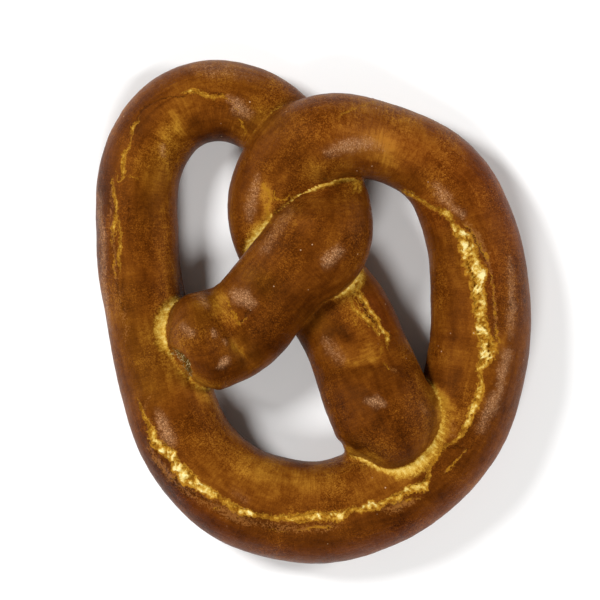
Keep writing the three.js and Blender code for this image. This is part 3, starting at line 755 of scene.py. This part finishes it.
SHEEN_BANDS = [  # where the crust is dry, finely wrinkled and shiny, with a painted highlight in its colour (a painted reflection along the left rim)
    [(328, 152, 2, 0.6), (345, 146, 2.4, 1), (368, 143, 2.4, 0.8), (385, 150, 2, 0.3)],
    [(257, 175, 1.2, 0.5), (255, 190, 1.9, 0.7), (251, 205, 2.1, 0.75), (250, 220, 1.6, 0.5)],
    [(230, 98, 1.4, 0.6), (237, 106, 2.4, 1), (247, 114, 2.2, 0.7)],
    [(163, 148, 1.2, 0.7), (164, 155, 1, 0.5)],
    [(101, 192, 0.8, 0.4), (100, 215, 1.1, 0.6), (103, 235, 1.4, 0.65), (104, 255, 1.3, 0.65),
     (103, 275, 1, 0.5), (106, 300, 0.9, 0.5), (110, 330, 0.9, 0.4)],
    [(190, 70, 2, 0.3), (212, 70, 2.6, 0.5), (232, 72, 2.4, 0.4), (252, 78, 2, 0.3)],
    [(327, 261, 2.2, 1), (337, 252, 2.2, 1)],
    [(183, 326, 1.4, 0.6), (190, 334, 1.8, 0.8)],
    [(212, 330, 0.9, 0.8), (214, 336, 0.8, 0.8)],
    [(223, 341, 0.8, 0.6), (227, 344, 0.8, 0.8)],
    [(226, 359, 1.3, 1), (221, 365, 1.3, 1)],
    [(234, 295, 2.2, 0.8), (243, 297, 2.8, 1), (251, 303, 2, 0.8)],
    [(202, 296, 1.6, 0.6), (206, 305, 1.6, 0.5)],
    [(325, 340, 1.8, 0.5), (331, 350, 2.6, 0.65), (340, 358, 2.2, 0.5)],
    [(367, 401, 1.2, 0.8), (375, 401, 2, 1), (383, 404, 1.4, 0.9)],
    [(158, 410, 1.2, 0.5), (162, 422, 1.8, 0.9), (167, 434, 2.2, 1), (174, 444, 1.6, 0.6)],
    [(509, 258, 1.2, 0.5), (511, 285, 1.4, 0.65), (512, 310, 1.5, 0.75), (510, 338, 1.3, 0.5)],
    [(507, 352, 1.8, 0.8), (503, 370, 1.8, 0.85), (500, 390, 1.3, 0.7), (493, 403, 2.3, 0.9),
     (486, 415, 2.1, 0.8), (481, 430, 1.8, 0.6)],
    [(437, 187, 2, 0.6), (443, 196, 2.2, 0.8), (452, 208, 1.6, 0.6), (462, 214, 1.5, 0.8)],
    [(288, 212, 2.6, 0.45), (276, 232, 2.6, 0.5), (264, 250, 2.4, 0.5)],
    [(236, 493, 2.2, 0.35), (246, 500, 1.8, 0.3)],
    [(421, 404, 1.2, 0.4), (426, 412, 1.2, 0.4)],
]
FLAKES = [  # torn edges of skin along the bursts
    [(148, 447, 0.8, 0.6), (158, 462, 1.3, 0.9), (172, 477, 1.6, 0.9), (188, 492, 1.7, 0.75),
     (202, 501, 1.6, 0.65), (217, 507, 1.8, 0.75), (232, 515, 1.8, 1), (246, 521, 1.6, 0.8),
     (262, 525, 1.4, 0.5), (282, 527, 1.8, 0.7), (302, 529, 1.8, 0.6), (322, 528, 1.8, 0.7),
     (345, 523, 1.2, 0.3)],
    [(384, 510, 1.6, 0.7), (398, 506, 1.9, 1), (412, 501, 1.4, 0.8), (422, 497, 0.9, 0.4)],
    [(446, 472, 0.8, 0.6), (456, 460, 0.8, 0.5), (466, 450, 0.8, 0.4)],
    [(466, 224, 1.2, 0.7), (477, 237, 1.8, 1), (484, 252, 1.5, 1), (490, 268, 1, 0.6),
     (494, 290, 0.8, 0.6), (495, 312, 0.9, 0.7), (497, 335, 1, 0.7)],
    [(145, 408, 1, 0.6), (150, 396, 1, 0.5)],
    [(112, 190, 0.8, 0.5), (110, 215, 0.8, 0.5), (114, 258, 0.9, 0.6), (117, 285, 0.8, 0.5),
     (124, 318, 1.2, 0.6), (128, 340, 1.2, 0.5)],
    [(390, 366, 0.9, 0.6), (398, 374, 0.7, 0.4)],
    [(452, 424, 1.8, 0.6), (452, 434, 1.6, 0.6)],
]
CRUMB_HOLE = [
    (171, 350, 0.8, 0.8), (178, 356, 1.3, 1), (184, 364, 1.3, 1), (188, 372, 1.1, 1), (190, 377, 0.7, 0.7),
]

SPLIT_ROUNDS = 3
CORE_EDGE, LINE_EDGE, CREASE_EDGE = 0.38, 0.62, 0.85  # longest edges by what they have to show
PLAIN_EDGE = 9.0  # longer than any edge, so that the rest isn't cut
CORE_MARGIN, LINE_MARGIN, CREASE_MARGIN = 0.8, 0.6, 2.5  # how far round each the short edges go
SHOWN = 0.1  # how far up the skin has to face for a crease to need short edges


def edge_wanted(skin):
    """The longest edge that each place may have."""
    wanted = np.full(len(skin.points), PLAIN_EDGE)
    facing = skin.up > SHOWN
    wanted[facing & (skin.crease < CREASE_MARGIN)] = CREASE_EDGE
    wanted[facing & (skin.crease < LINE_MARGIN)] = LINE_EDGE
    away, half, _ = nearest_line(skin, GOLD_LINES + CRACK_SHADE_LINES + [CRUMB_HOLE], LINE_MARGIN)
    wanted[np.abs(away) < half + LINE_MARGIN] = LINE_EDGE
    away, half, _ = nearest_line(skin, BURSTS, CORE_MARGIN)
    wanted[np.abs(away) < half + CORE_MARGIN] = CORE_EDGE
    return wanted


def fine_skin():
    """The pretzel's skin, with short edges where its marks need them."""
    points, triangles = pretzel_skin()
    for _ in range(SPLIT_ROUNDS):
        wanted = edge_wanted(Skin(points, triangles))
        points, triangles = split_long_edges(points, triangles, wanted)
    return Skin(settle_on_skin(points, triangles, rounds=1), triangles)


BURST_REACH = 2.0  # how far beyond the gape a burst raises its lips
NARROWEST_BURST, NARROWEST_LINE = 0.15, 0.2  # half widths that the relief reckons with at least
EDGE_RAGGED = (0.45, 0.25)  # how much coarse and fine grain widen and narrow the gape
FLOOR_ENDS = (0.75, 1.2)  # where the torn floor ends, as a share of the half gape
GROOVE_SHARE = 0.28  # depth of the burst's floor for each mm of gape
GROOVE_DEPTH = 0.1  # its depth where the gape is nearly 0
LIP_SHARE = 0.12  # height of the lips for each mm of gape
LIP_PLACE, LIP_SHARPNESS = 1.5, 2.0  # in half gapes from the middle, and how steep they are
LUMP_RISE, LUMP_RISE_SHARE = 0.35, 0.45  # height of the lumps, and what each mm of half gape adds
DARK_RISE, PALE_RISE = 0.35, 0.65  # share of it in dark crumb, and what pale crumb adds
LOW_CRUMB, HIGH_CRUMB = 0.12, 0.86  # lightness between the lumps, and what their tops add: painted shade and highlight that follow the relief
LUMP_SIZE = np.array([2.3, 2.6, 1.0])  # along the rope and across it
LUMP_OCTAVES = 3
RIDGE_SIZE = np.array([0.85, 3.0, 1.0])
RIDGE_SLANT = 0.8  # how far the ridges lean along the rope
LUMP_MIDDLE, RIDGE_GAIN = 0.5, 0.5  # the lumps' middle height, and what the ridges add
GRAIN_SIZE, FINE_SIZE, DOUGH_SIZE = 1.1, 0.45, 5.0  # of the skin's grain
DOUGH_OCTAVES = 3
FLAKE_SIZE, FLAKE_STRETCH = 1.3, [0.3, 1.0, 1.0]
WRINKLE_SIZE, WRINKLE_STRETCH = 1.4, [1.0, 0.25, 0.25]
FINE_APART, DOUGH_APART, FLAKE_APART, WRINKLE_APART = 40.0, 80.0, 9.0, 5.0  # places in the noise
FLAKE_HEIGHT, WRINKLE_HEIGHT, DOUGH_HEIGHT, GRAIN_HEIGHT = 0.35, 0.08, 0.1, 0.04  # up and down
LINE_DEPTH, HOLE_DEPTH, HOLE_GRAIN = 0.16, 1.5, 0.9  # the hole's grain changes its depth
HOLE_RAGGED, FLAKE_RAGGED, SHEEN_RAGGED, GLOW_RAGGED = 0.4, 0.3, 0.35, 0.2  # of their edges
CALM_HEIGHT = 2.0  # height over the tray where the relief is whole
SIDE_HEIGHT = 1.2  # what the height gains where the skin doesn't face down
FACING_DOWN = -0.3  # a normal's z


def crumb_lumps(skin, offset, near):
    """How far the torn crumb stands up, 0 to 1, at the points in near."""
    along, across = skin.distance[near], offset[near]
    flat = np.zeros_like(along)
    lumps = grain_of(np.stack([along, across, flat], axis=1) / LUMP_SIZE, 1.0, LUMP_OCTAVES)
    slanted = np.stack([along + RIDGE_SLANT * across, across - RIDGE_SLANT * along, flat], axis=1)
    ridges = grain_of(slanted / RIDGE_SIZE, 1.0)
    return np.clip(LUMP_MIDDLE + lumps + RIDGE_GAIN * ridges, 0, 1)


def burst_relief(skin):
    """Relief of the bursts, the fields that show their edge, and how light the crumb is, lighter on the
    lumps' tops as painted highlight and shade.
    """
    offset, half, pale = nearest_line(skin, BURSTS, BURST_REACH)
    half = half * (1 + EDGE_RAGGED[0] * skin.grain + EDGE_RAGGED[1] * skin.fine)
    share = np.abs(offset) / np.maximum(half, NARROWEST_BURST)
    near = np.flatnonzero(half > THINNEST)
    puffed = np.zeros(len(half))
    puffed[near] = crumb_lumps(skin, offset, near)
    inside = (1 - smooth(*FLOOR_ENDS, share)) * (half > THINNEST)
    lip = LIP_SHARE * 2 * half * np.exp(-((LIP_SHARPNESS * (share - LIP_PLACE)) ** 2))
    rise = puffed * (LUMP_RISE + LUMP_RISE_SHARE * half) * (DARK_RISE + PALE_RISE * pale)
    relief = lip + inside * (rise - GROOVE_SHARE * 2 * half - GROOVE_DEPTH)
    edge = np.stack([offset, half, pale], axis=1)
    return relief, edge, pale * (LOW_CRUMB + HIGH_CRUMB * puffed)


def line_depth(line):
    """How far thin lines are cut in."""
    away, half, strength = line
    fading = np.exp(-((away / np.maximum(half, NARROWEST_LINE)) ** 2))
    return LINE_DEPTH * strength * fading * (half > THINNEST)


def grain_relief(skin, flakes, sheen):
    """Relief of the flakes, the dry wrinkles and the dough's own grain."""
    ridges = grain_of(skin.rolled * FLAKE_STRETCH + FLAKE_APART, FLAKE_SIZE)
    wrinkles = grain_of(skin.rolled * WRINKLE_STRETCH + WRINKLE_APART, WRINKLE_SIZE)
    dough = grain_of(skin.points + DOUGH_APART, DOUGH_SIZE, DOUGH_OCTAVES)
    torn = flakes * FLAKE_HEIGHT * ridges + sheen * WRINKLE_HEIGHT * wrinkles
    return torn + DOUGH_HEIGHT * dough + GRAIN_HEIGHT * skin.grain


def dress(skin):
    """Adds the relief and gives the fields that the material reads."""
    skin.grain = grain_of(skin.points, GRAIN_SIZE)
    skin.fine = grain_of(skin.points + FINE_APART, FINE_SIZE)
    relief, burst, crumb_shade = burst_relief(skin)
    line = nearest_line(skin, GOLD_LINES, LINE_MARGIN)
    crack_shade_line = nearest_line(skin, CRACK_SHADE_LINES, LINE_MARGIN)
    hole = paint_bands(skin, [CRUMB_HOLE], HOLE_RAGGED)
    flakes = paint_bands(skin, FLAKES, FLAKE_RAGGED)
    sheen = paint_bands(skin, SHEEN_BANDS, SHEEN_RAGGED)
    relief -= line_depth(line) + line_depth(crack_shade_line)
    relief -= paint_bands(skin, DENTS) + hole * (HOLE_DEPTH + HOLE_GRAIN * skin.fine)
    relief += grain_relief(skin, flakes, sheen)
    on_side = skin.normals[:, 2] > FACING_DOWN
    relief *= smooth(0.0, CALM_HEIGHT, skin.points[:, 2] + SIDE_HEIGHT * on_side)
    points = skin.points + skin.normals * relief[:, None]
    points[:, 2] = np.maximum(points[:, 2], 0.0)
    fields = {
        "burst": burst,
        "crumb_shade": crumb_shade,
        "line": line.T,
        "crack_shade_line": crack_shade_line.T,
        "hole": hole,
        "gold": paint_creases(skin, CREASES),
        "pale": paint_creases(skin, PALE_CREASES),
        "glow": paint_bands(skin, GOLD_BANDS, GLOW_RAGGED),
        "tone_and_painted_light": paint_tones(skin, TONES_AND_PAINTED_LIGHT),
        "hue": paint_tones(skin, HUES),
        "flake": flakes,
        "sheen": sheen,
        "rolled": skin.rolled,
    }
    return points, fields


def add_object(name, data):
    """Adds an object with that mesh, light or camera to the scene."""
    made = bpy.data.objects.new(name, data)
    bpy.context.scene.collection.objects.link(made)
    return made


def make_mesh(name, points, triangles, fields):
    """The pretzel as a piece at true size, with its fields as attributes."""
    mesh = bpy.data.meshes.new(name)
    mesh.from_pydata((points * MM).tolist(), [], triangles.tolist())
    mesh.shade_smooth()
    for key, values in fields.items():
        kind, slot = ("FLOAT_VECTOR", "vector") if values.ndim == 2 else ("FLOAT", "value")
        attribute = mesh.attributes.new(key, kind, "POINT")
        attribute.data.foreach_set(slot, values.astype(np.float32).ravel())
    return add_object(name, mesh)


# ---------------------------------------------------------------------------------------------
# The crust's material


class Nodes:
    """Short ways to add nodes to a material."""

    def __init__(self, name):
        self.material = bpy.data.materials.new(name)
        self.material.use_nodes = True
        self.tree = self.material.node_tree
        self.shader = self.tree.nodes["Principled BSDF"]

    def add(self, kind, inputs, output=0, **settings):
        node = self.tree.nodes.new(kind)
        for key, value in settings.items():
            setattr(node, key, value)
        for slot, value in inputs.items():
            if isinstance(value, bpy.types.NodeSocket):
                self.tree.links.new(value, node.inputs[slot])
            else:
                node.inputs[slot].default_value = value
        return node.outputs[output]

    def field(self, name, output="Fac"):
        """A value that the mesh carries at its points."""
        return self.add("ShaderNodeAttribute", {}, output, attribute_name=name)

    def math(self, operation, *values, clamp=False):
        return self.add("ShaderNodeMath", dict(enumerate(values)), operation=operation, use_clamp=clamp)

    def times(self, first, second):
        """The product of two values."""
        return self.math("MULTIPLY", first, second)

    def scaled(self, value, gain, base):
        """A value made stronger and added to a base."""
        return self.math("MULTIPLY_ADD", value, gain, base)

    def noise(self, place, scale, detail=2.0, roughness=0.5, distortion=0.0):
        inputs = {"Vector": place, "Scale": scale, "Detail": detail, "Roughness": roughness}
        return self.add("ShaderNodeTexNoise", inputs | {"Distortion": distortion})

    def cells(self, place, scale, feature="F1"):
        """Distance from the middle or the edge of irregular cells."""
        inputs = {"Vector": place, "Scale": scale, "Randomness": 1.0}
        return self.add("ShaderNodeTexVoronoi", inputs, "Distance", feature=feature)

    def parts(self, vector):
        node = self.tree.nodes.new("ShaderNodeSeparateXYZ")
        self.tree.links.new(vector, node.inputs[0])
        return tuple(node.outputs)

    def stretched(self, place, scale):
        return self.add("ShaderNodeVectorMath", {0: place, 1: scale}, operation="MULTIPLY")

    def ramp(self, value, low, high, to_low=0.0, to_high=1.0):
        inputs = {"Value": value, "From Min": low, "From Max": high, "To Min": to_low, "To Max": to_high}
        return self.add("ShaderNodeMapRange", inputs, interpolation_type="SMOOTHSTEP")

    def mix(self, share, first, second, blend="MIX"):
        inputs = {0: share, 6: first, 7: second}
        return self.add("ShaderNodeMix", inputs, 2, data_type="RGBA", blend_type=blend)

    def colours(self, value, stops):
        node = self.tree.nodes.new("ShaderNodeValToRGB")
        node.color_ramp.interpolation = "B_SPLINE"
        elements = node.color_ramp.elements
        while len(elements) < len(stops):
            elements.new(0.5)
        for element, (place, colour) in zip(elements, stops):
            element.position = place
            element.color = (*colour, 1)
        self.tree.links.new(value, node.inputs["Fac"])
        return node.outputs["Color"]


BROWNS = [
    (0.0, (0.014, 0.0028, 0.0003)),
    (0.25, (0.044, 0.0095, 0.0006)),
    (0.5, (0.107, 0.0265, 0.0020)),
    (0.72, (0.188, 0.0570, 0.0045)),
    (1.0, (0.37, 0.165, 0.0160)),
]
CRUMBS = [
    (0.0, (0.15, 0.050, 0.003)),
    (0.22, (0.29, 0.120, 0.008)),
    (0.45, (0.46, 0.250, 0.024)),
    (0.72, (0.65, 0.460, 0.105)),
    (1.0, (0.78, 0.690, 0.340)),
]
GOLD = (0.31, 0.137, 0.009, 1)
FRINGE = (0.41, 0.193, 0.016, 1)
CRACK_SHADE = (0.030, 0.0065, 0.0005, 1)
FLAKE = (0.24, 0.095, 0.022, 1)
# pale tan of the painted highlight on the shiny, wrinkled skin
PAINTED_SHEEN = (0.48, 0.250, 0.115, 1)
DUST = (0.60, 0.38, 0.22, 1)
# the hole's dark brown is painted shade in the hollow; CHIP is its pale crumb
HOLE_SHADE = (0.080, 0.042, 0.005, 1)
CHIP = (0.40, 0.33, 0.17, 1)


# How much each noise changes the crust's shade, round its middle on the way along BROWNS
SHADE = 0.507
MOTTLE_GAIN, BLOTCH_GAIN, FLOW_GAIN, STREAK_GAIN, GRIT_GAIN, SPECK_GAIN = 0.7, 0.22, 0.38, 0.25, 0.45, 0.8
GLOW_GAIN = 0.42  # how much lighter the gold bands are
GRITTY, GRITTY_SHARE = (0.42, 0.62), (0.45, 1.5)  # calm to gritty stretches, and their fine grain
PATCHES = {  # field, where its cover starts and is whole, that cover, and how ragged its edge is
    "hole": ("hole", 0.4, 0.9, 0.85, 2.0),
    # the next patch covers the crust with the painted highlight
    "painted_sheen": ("sheen", 0.25, 1.3, 0.72, 1.9),
    "shiny": ("sheen", 0.2, 0.9, 1.0, 1.4),
    "flake": ("flake", 0.4, 1.0, 0.75, 2.4),
    "gold": ("gold", 0.1, 0.8, 1.0, 0.7),
    "pale": ("pale", 0.1, 0.6, 1.0, 0.7),
}
PATCH_NEAR = 3.0  # how soon a patch's edge grows fully ragged
LINE_CORE = 0.3  # share of a thin line's half width that is covered whole
LINE_BROKEN = (0.15, 0.6)  # strengths where a thin line is broken off, and where it is whole
LEAST_LINE, LEAST_BURST = 0.03, 0.04  # half widths under which nothing shows
TORN_EDGE = (-0.2, 0.06)  # where the torn crumb fades out, in millimetres beyond the gape
FRINGE_FROM, FRINGE_REACH = 0.05, 0.28  # where the golden fringe fades out, beyond the gape
FRINGE_SHARE = 0.45  # what each mm of half gape adds to its reach
CRUMB_LUMPS = -0.5  # how much the crumb darkens between its lumps, as painted shade
CRUMB_ROUGH, CREASE_ROUGH = 0.85, 0.5  # how uneven torn and stretched crumb are
CRUMB_TONE = 0.27  # lightness that the torn crumb has at least
CREASE_TONE, CREASE_GOLD, CREASE_PALE = 0.28, 0.2, 0.34  # lightness of creases, and what each adds
# the first is the painted shade in cracks, the last the soft even share of the painted highlight
CRACK_SHADE_COVER, FRINGE_COVER, DUST_COVER, SHEEN_COVER = 0.85, 0.85, 0.7, 0.13  # how much each hides
DUST_SPOT, DUST_SPARSE = (0.035, 0.075), (0.52, 0.6)  # sizes of the specks, and where they are
ROUGHNESS = (0.35, 0.47)
SHINY_ROUGHNESS, TORN_ROUGHNESS = -0.14, 0.3  # what shiny skin and torn crumb add to it
SPECULAR = 0.12
SPECULAR_TINT = (1.0, 0.38, 0.08, 1)
SPECK_BUMP, STREAK_BUMP, GRIT_BUMP, PLATE_BUMP, LUMP_BUMP = 0.3, 0.4, 0.5, 0.7, -0.8
BUMP_STRENGTH, BUMP_DISTANCE = 0.7, 0.0003  # the distance is in metres


class Crust:
    """The crust's material: browned skin, then the marks that cross it."""

    def __init__(self):
        n = self.n = Nodes("crust")
        self.rolled = n.field("rolled", "Vector")
        self.where = n.add("ShaderNodeTexCoord", {}, "Object")
        self.mottle = n.noise(self.rolled, 0.10, 4.0, 0.6)
        self.flow = n.noise(n.stretched(self.rolled, (0.07, 0.3, 0.3)), 1.0, 2.0, 0.5, 1.2)
        self.gritty = n.noise(self.where, 60.0, 2.0, 0.5)
        self.blotch = n.noise(self.where, 300.0, 5.0, 0.7)
        self.grit = n.noise(self.where, 1150.0, 3.0, 0.75)
        self.speck = n.noise(self.where, 2600.0, 2.0, 0.7)
        self.streak = n.noise(n.stretched(self.rolled, (1.5, 0.14, 0.14)), 1.0, 3.0, 0.6, 0.6)
        self.sheen = n.field("sheen")
        self.plates = n.ramp(n.cells(self.where, 1300.0, "DISTANCE_TO_EDGE"), 0.02, 0.2)
        self.lumps = n.cells(self.where, 850.0)

    def centred(self, value, gain, base=0.0):
        """Noise about 0, made stronger and added to a base."""
        return self.n.scaled(self.n.math("SUBTRACT", value, 0.5), gain, base)

    def browned(self):
        """The skin's brown, from its noises and its broad bands."""
        n = self.n
        shade = self.centred(self.mottle, MOTTLE_GAIN, SHADE)
        shade = self.centred(self.blotch, BLOTCH_GAIN, shade)
        shade = self.centred(self.streak, STREAK_GAIN, self.centred(self.flow, FLOW_GAIN, shade))
        gritty = n.ramp(self.gritty, *GRITTY, *GRITTY_SHARE)
        fine = self.centred(self.grit, GRIT_GAIN, self.centred(self.speck, SPECK_GAIN))
        shade = n.scaled(fine, gritty, shade)
        uneven = self.centred(self.blotch, 1.4, self.centred(self.streak, 1.3, 0.95))
        shade = n.scaled(n.times(n.field("glow"), uneven), GLOW_GAIN, shade)
        # the tone field adds browning, painted shade and painted highlight
        shade = n.math("ADD", shade, n.field("tone_and_painted_light"))
        green = n.math("ADD", n.field("hue"), 1.0)
        yellow = n.add("ShaderNodeCombineXYZ", {"X": 1.0, "Y": green, "Z": 1.0})
        return n.stretched(n.colours(shade, BROWNS), yellow)

    def line_cover(self, name):
        """How strongly a thin ragged line covers the crust."""
        n = self.n
        away, half, strength = n.parts(n.field(name, "Vector"))
        away = n.math("ABSOLUTE", self.centred(self.grit, 3.0, self.centred(self.speck, 1.6, away)))
        edge = {"Value": away, "From Min": half, "From Max": n.times(half, LINE_CORE)}
        cover = n.add("ShaderNodeMapRange", edge)
        present = n.math("GREATER_THAN", half, LEAST_LINE)
        whole = self.centred(self.gritty, 1.6, self.centred(self.blotch, 1.8, strength))
        return n.times(n.times(cover, present), n.ramp(whole, *LINE_BROKEN))

    def patch(self, name):
        """How strongly a ragged patch covers the crust."""
        n = self.n
        field, low, high, most, ragged = PATCHES[name]
        strength = n.field(field)
        uneven = self.centred(self.grit, ragged, self.centred(self.speck, ragged * 0.8))
        near = n.math("MULTIPLY", strength, PATCH_NEAR, clamp=True)
        return n.ramp(n.scaled(uneven, near, strength), low, high, 0.0, most)

    def burst_cover(self):
        """Where the torn crumb shows, and its golden fringe."""
        n = self.n
        away, half, pale = n.parts(n.field("burst", "Vector"))
        beyond = n.math("SUBTRACT", n.math("ABSOLUTE", away), half)
        present = n.math("GREATER_THAN", half, LEAST_BURST)
        torn = self.centred(self.speck, 0.9, self.centred(self.grit, 1.5, beyond))
        inside = n.times(n.ramp(torn, *TORN_EDGE, 1.0, 0.0), present)
        frayed = self.centred(self.streak, 0.8, self.centred(self.grit, 2.6, beyond))
        reach = n.scaled(half, FRINGE_SHARE, FRINGE_REACH)
        fringe = n.times(n.ramp(frayed, FRINGE_FROM, reach, 1.0, 0.0), present)
        return inside, n.times(fringe, n.ramp(pale, 0.0, 0.8, 0.45, 1.0))

    def crumb(self, share, rough=CRUMB_ROUGH):
        """Colour of torn or stretched crumb: pale lumps, with painted shade in the golden creases between
        them.
        """
        crumb_shade = self.n.scaled(self.lumps, CRUMB_LUMPS * rough, share)
        crumb_shade = self.centred(self.speck, rough, self.centred(self.grit, rough, crumb_shade))
        return self.n.colours(crumb_shade, CRUMBS)

    def creases(self, colour):
        """Golden to pale dough where two strands pull apart."""
        n = self.n
        gold = n.scaled(n.field("gold"), CREASE_GOLD, CREASE_TONE)
        share = n.scaled(n.field("pale"), CREASE_PALE, gold)
        share = self.centred(self.streak, 0.7, self.centred(self.blotch, 0.6, share))
        cover = n.math("MAXIMUM", self.patch("gold"), self.patch("pale"))
        return n.mix(cover, colour, self.crumb(share, CREASE_ROUGH))

    def dusted(self, colour):
        """A few pale specks of flour and blistered skin."""
        n = self.n
        spot = n.ramp(n.cells(self.where, 270.0), *DUST_SPOT, 1.0, 0.0)
        sparse = n.ramp(n.noise(self.where, 180.0, 2.0, 0.6), *DUST_SPARSE)
        return n.mix(n.times(n.times(spot, sparse), DUST_COVER), colour, DUST)

    def painted_sheen_and_flakes(self, colour):
        """A painted highlight where the skin is dry and shiny, and the flakes of peeling skin."""
        n = self.n
        # the painted highlight, broken by the fine plates, with a soft even part where the sheen field is
        # strong
        painted_sheen = n.times(self.patch("painted_sheen"), n.ramp(self.plates, 0.0, 1.0, 0.3, 1.0))
        painted_sheen = n.scaled(n.ramp(self.sheen, 0.0, 1.0), SHEEN_COVER, painted_sheen)
        return n.mix(self.patch("flake"), n.mix(painted_sheen, colour, PAINTED_SHEEN), FLAKE)

    def colour(self):
        """Every mark over the browned skin, from the lowest to the topmost."""
        n = self.n
        inside, fringe = self.burst_cover()
        hole = self.patch("hole")
        self.torn = n.math("MAXIMUM", inside, hole)
        colour = self.painted_sheen_and_flakes(self.browned())
        # painted shade in the cracks
        colour = n.mix(n.times(self.line_cover("crack_shade_line"), CRACK_SHADE_COVER), colour, CRACK_SHADE)
        colour = n.mix(self.line_cover("line"), self.creases(colour), GOLD)
        colour = self.dusted(n.mix(n.times(fringe, FRINGE_COVER), colour, FRINGE))
        colour = n.mix(inside, colour, self.crumb(n.math("ADD", n.field("crumb_shade"), CRUMB_TONE)))
        chips = n.mix(n.ramp(self.centred(self.grit, 1.2, self.speck), 0.58, 0.7), HOLE_SHADE, CHIP)
        return n.mix(hole, colour, chips)

    def roughness(self):
        """Less rough where the skin shines, rougher where it is torn."""
        rough = self.n.ramp(self.blotch, 0.3, 0.7, *ROUGHNESS)
        rough = self.n.scaled(self.patch("shiny"), SHINY_ROUGHNESS, rough)
        return self.n.scaled(self.torn, TORN_ROUGHNESS, rough)

    def height(self):
        """Height of the fine grain, which the bump reads."""
        n = self.n
        height = n.scaled(self.speck, SPECK_BUMP, n.times(self.streak, STREAK_BUMP))
        height = n.scaled(self.grit, GRIT_BUMP, n.math("ADD", height, self.blotch))
        fold = n.scaled(self.plates, PLATE_BUMP, n.math("ADD", self.streak, self.grit))
        height = n.math("ADD", n.times(fold, self.sheen), height)
        return n.scaled(n.times(self.lumps, self.torn), LUMP_BUMP, height)

    def finish(self):
        """Links everything to the shader and gives the material."""
        n = self.n
        colour = self.colour()
        grain = {"Height": self.height(), "Strength": BUMP_STRENGTH, "Distance": BUMP_DISTANCE}
        n.tree.links.new(colour, n.shader.inputs["Base Color"])
        n.tree.links.new(self.roughness(), n.shader.inputs["Roughness"])
        n.tree.links.new(n.add("ShaderNodeBump", grain), n.shader.inputs["Normal"])
        n.shader.inputs["Specular IOR Level"].default_value = SPECULAR
        n.shader.inputs["Specular Tint"].default_value = SPECULAR_TINT
        return n.material


skin = fine_skin()
skin_points, skin_fields = dress(skin)
crust = make_mesh("pretzel_crust", skin_points, skin.triangles, skin_fields)
crust.data.materials.append(Crust().finish())
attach(crust, "root")
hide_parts("pretzel")

# ---------------------------------------------------------------------------------------------
# Camera, light and floor

SENSOR = 36.0  # width in millimetres
CLIP_START = 0.05
LIGHTS = [  # name, place and size in metres, power in watts
    ("left light", (-0.62, 0.32, 0.72), 0.30, 8.5),
    ("right light", (0.85, 0.16, 0.5), 0.26, 6.0),
    ("low light", (-0.1, -0.55, 0.8), 0.36, 5.0),
    ("rim light", (-1.0, 0.1, 0.12), 0.30, 2.0),
]
WORLD_COLOUR = (1.0, 0.96, 0.9, 1)  # a little warm
WORLD_STRENGTH = 0.12
FLOOR_SIDE = 3.0  # half of it, in metres
FLOOR_GAP = 0.0003  # between the tray side of the pretzel and the floor
FLOOR_COLOUR = (0.92, 0.92, 0.92, 1)
FLOOR_ROUGHNESS = 0.8


def make_camera():
    """A camera straight above the photo's middle, whose picture is as wide as the photo."""
    centre = photo_to_plan((PHOTO_SIDE / 2, PHOTO_SIDE / 2)) * MM
    width = PHOTO_SIDE * PHOTO_STEP * MM
    data = bpy.data.cameras.new("camera")
    data.sensor_width = SENSOR
    data.lens = SENSOR * (CAMERA_HEIGHT - CAMERA_LEVEL) * MM / width
    data.clip_start = CLIP_START
    camera = add_object("camera", data)
    camera.location = (*centre, CAMERA_HEIGHT * MM)
    bpy.context.scene.camera = camera


def make_light(name, place, size, power):
    """A soft round light that faces the frame's origin."""
    data = bpy.data.lights.new(name, "AREA")
    data.shape = "DISK"
    data.size = size
    data.energy = power
    light = add_object(name, data)
    light.location = place
    light.rotation_euler = (-Vector(place)).to_track_quat("-Z", "Y").to_euler()


def make_world():
    """A faint, warm light from all round."""
    world = bpy.data.worlds.new("studio")
    world.use_nodes = True
    background = world.node_tree.nodes["Background"]
    background.inputs["Color"].default_value = WORLD_COLOUR
    background.inputs["Strength"].default_value = WORLD_STRENGTH
    bpy.context.scene.world = world


def make_floor():
    """A plain pale floor."""
    mesh = bpy.data.meshes.new("floor")
    turns = [(-1, -1), (1, -1), (1, 1), (-1, 1)]
    mesh.from_pydata([(FLOOR_SIDE * x, FLOOR_SIDE * y, 0) for x, y in turns], [], [(0, 1, 2, 3)])
    floor = add_object("floor", mesh)
    floor.location.z = -FLOOR_GAP
    material = bpy.data.materials.new("floor")
    material.use_nodes = True
    shader = material.node_tree.nodes["Principled BSDF"]
    shader.inputs["Base Color"].default_value = FLOOR_COLOUR
    shader.inputs["Roughness"].default_value = FLOOR_ROUGHNESS
    mesh.materials.append(material)


make_camera()
for light in LIGHTS:
    make_light(*light)
make_world()
make_floor()
bpy.context.scene.view_settings.view_transform = "Standard"
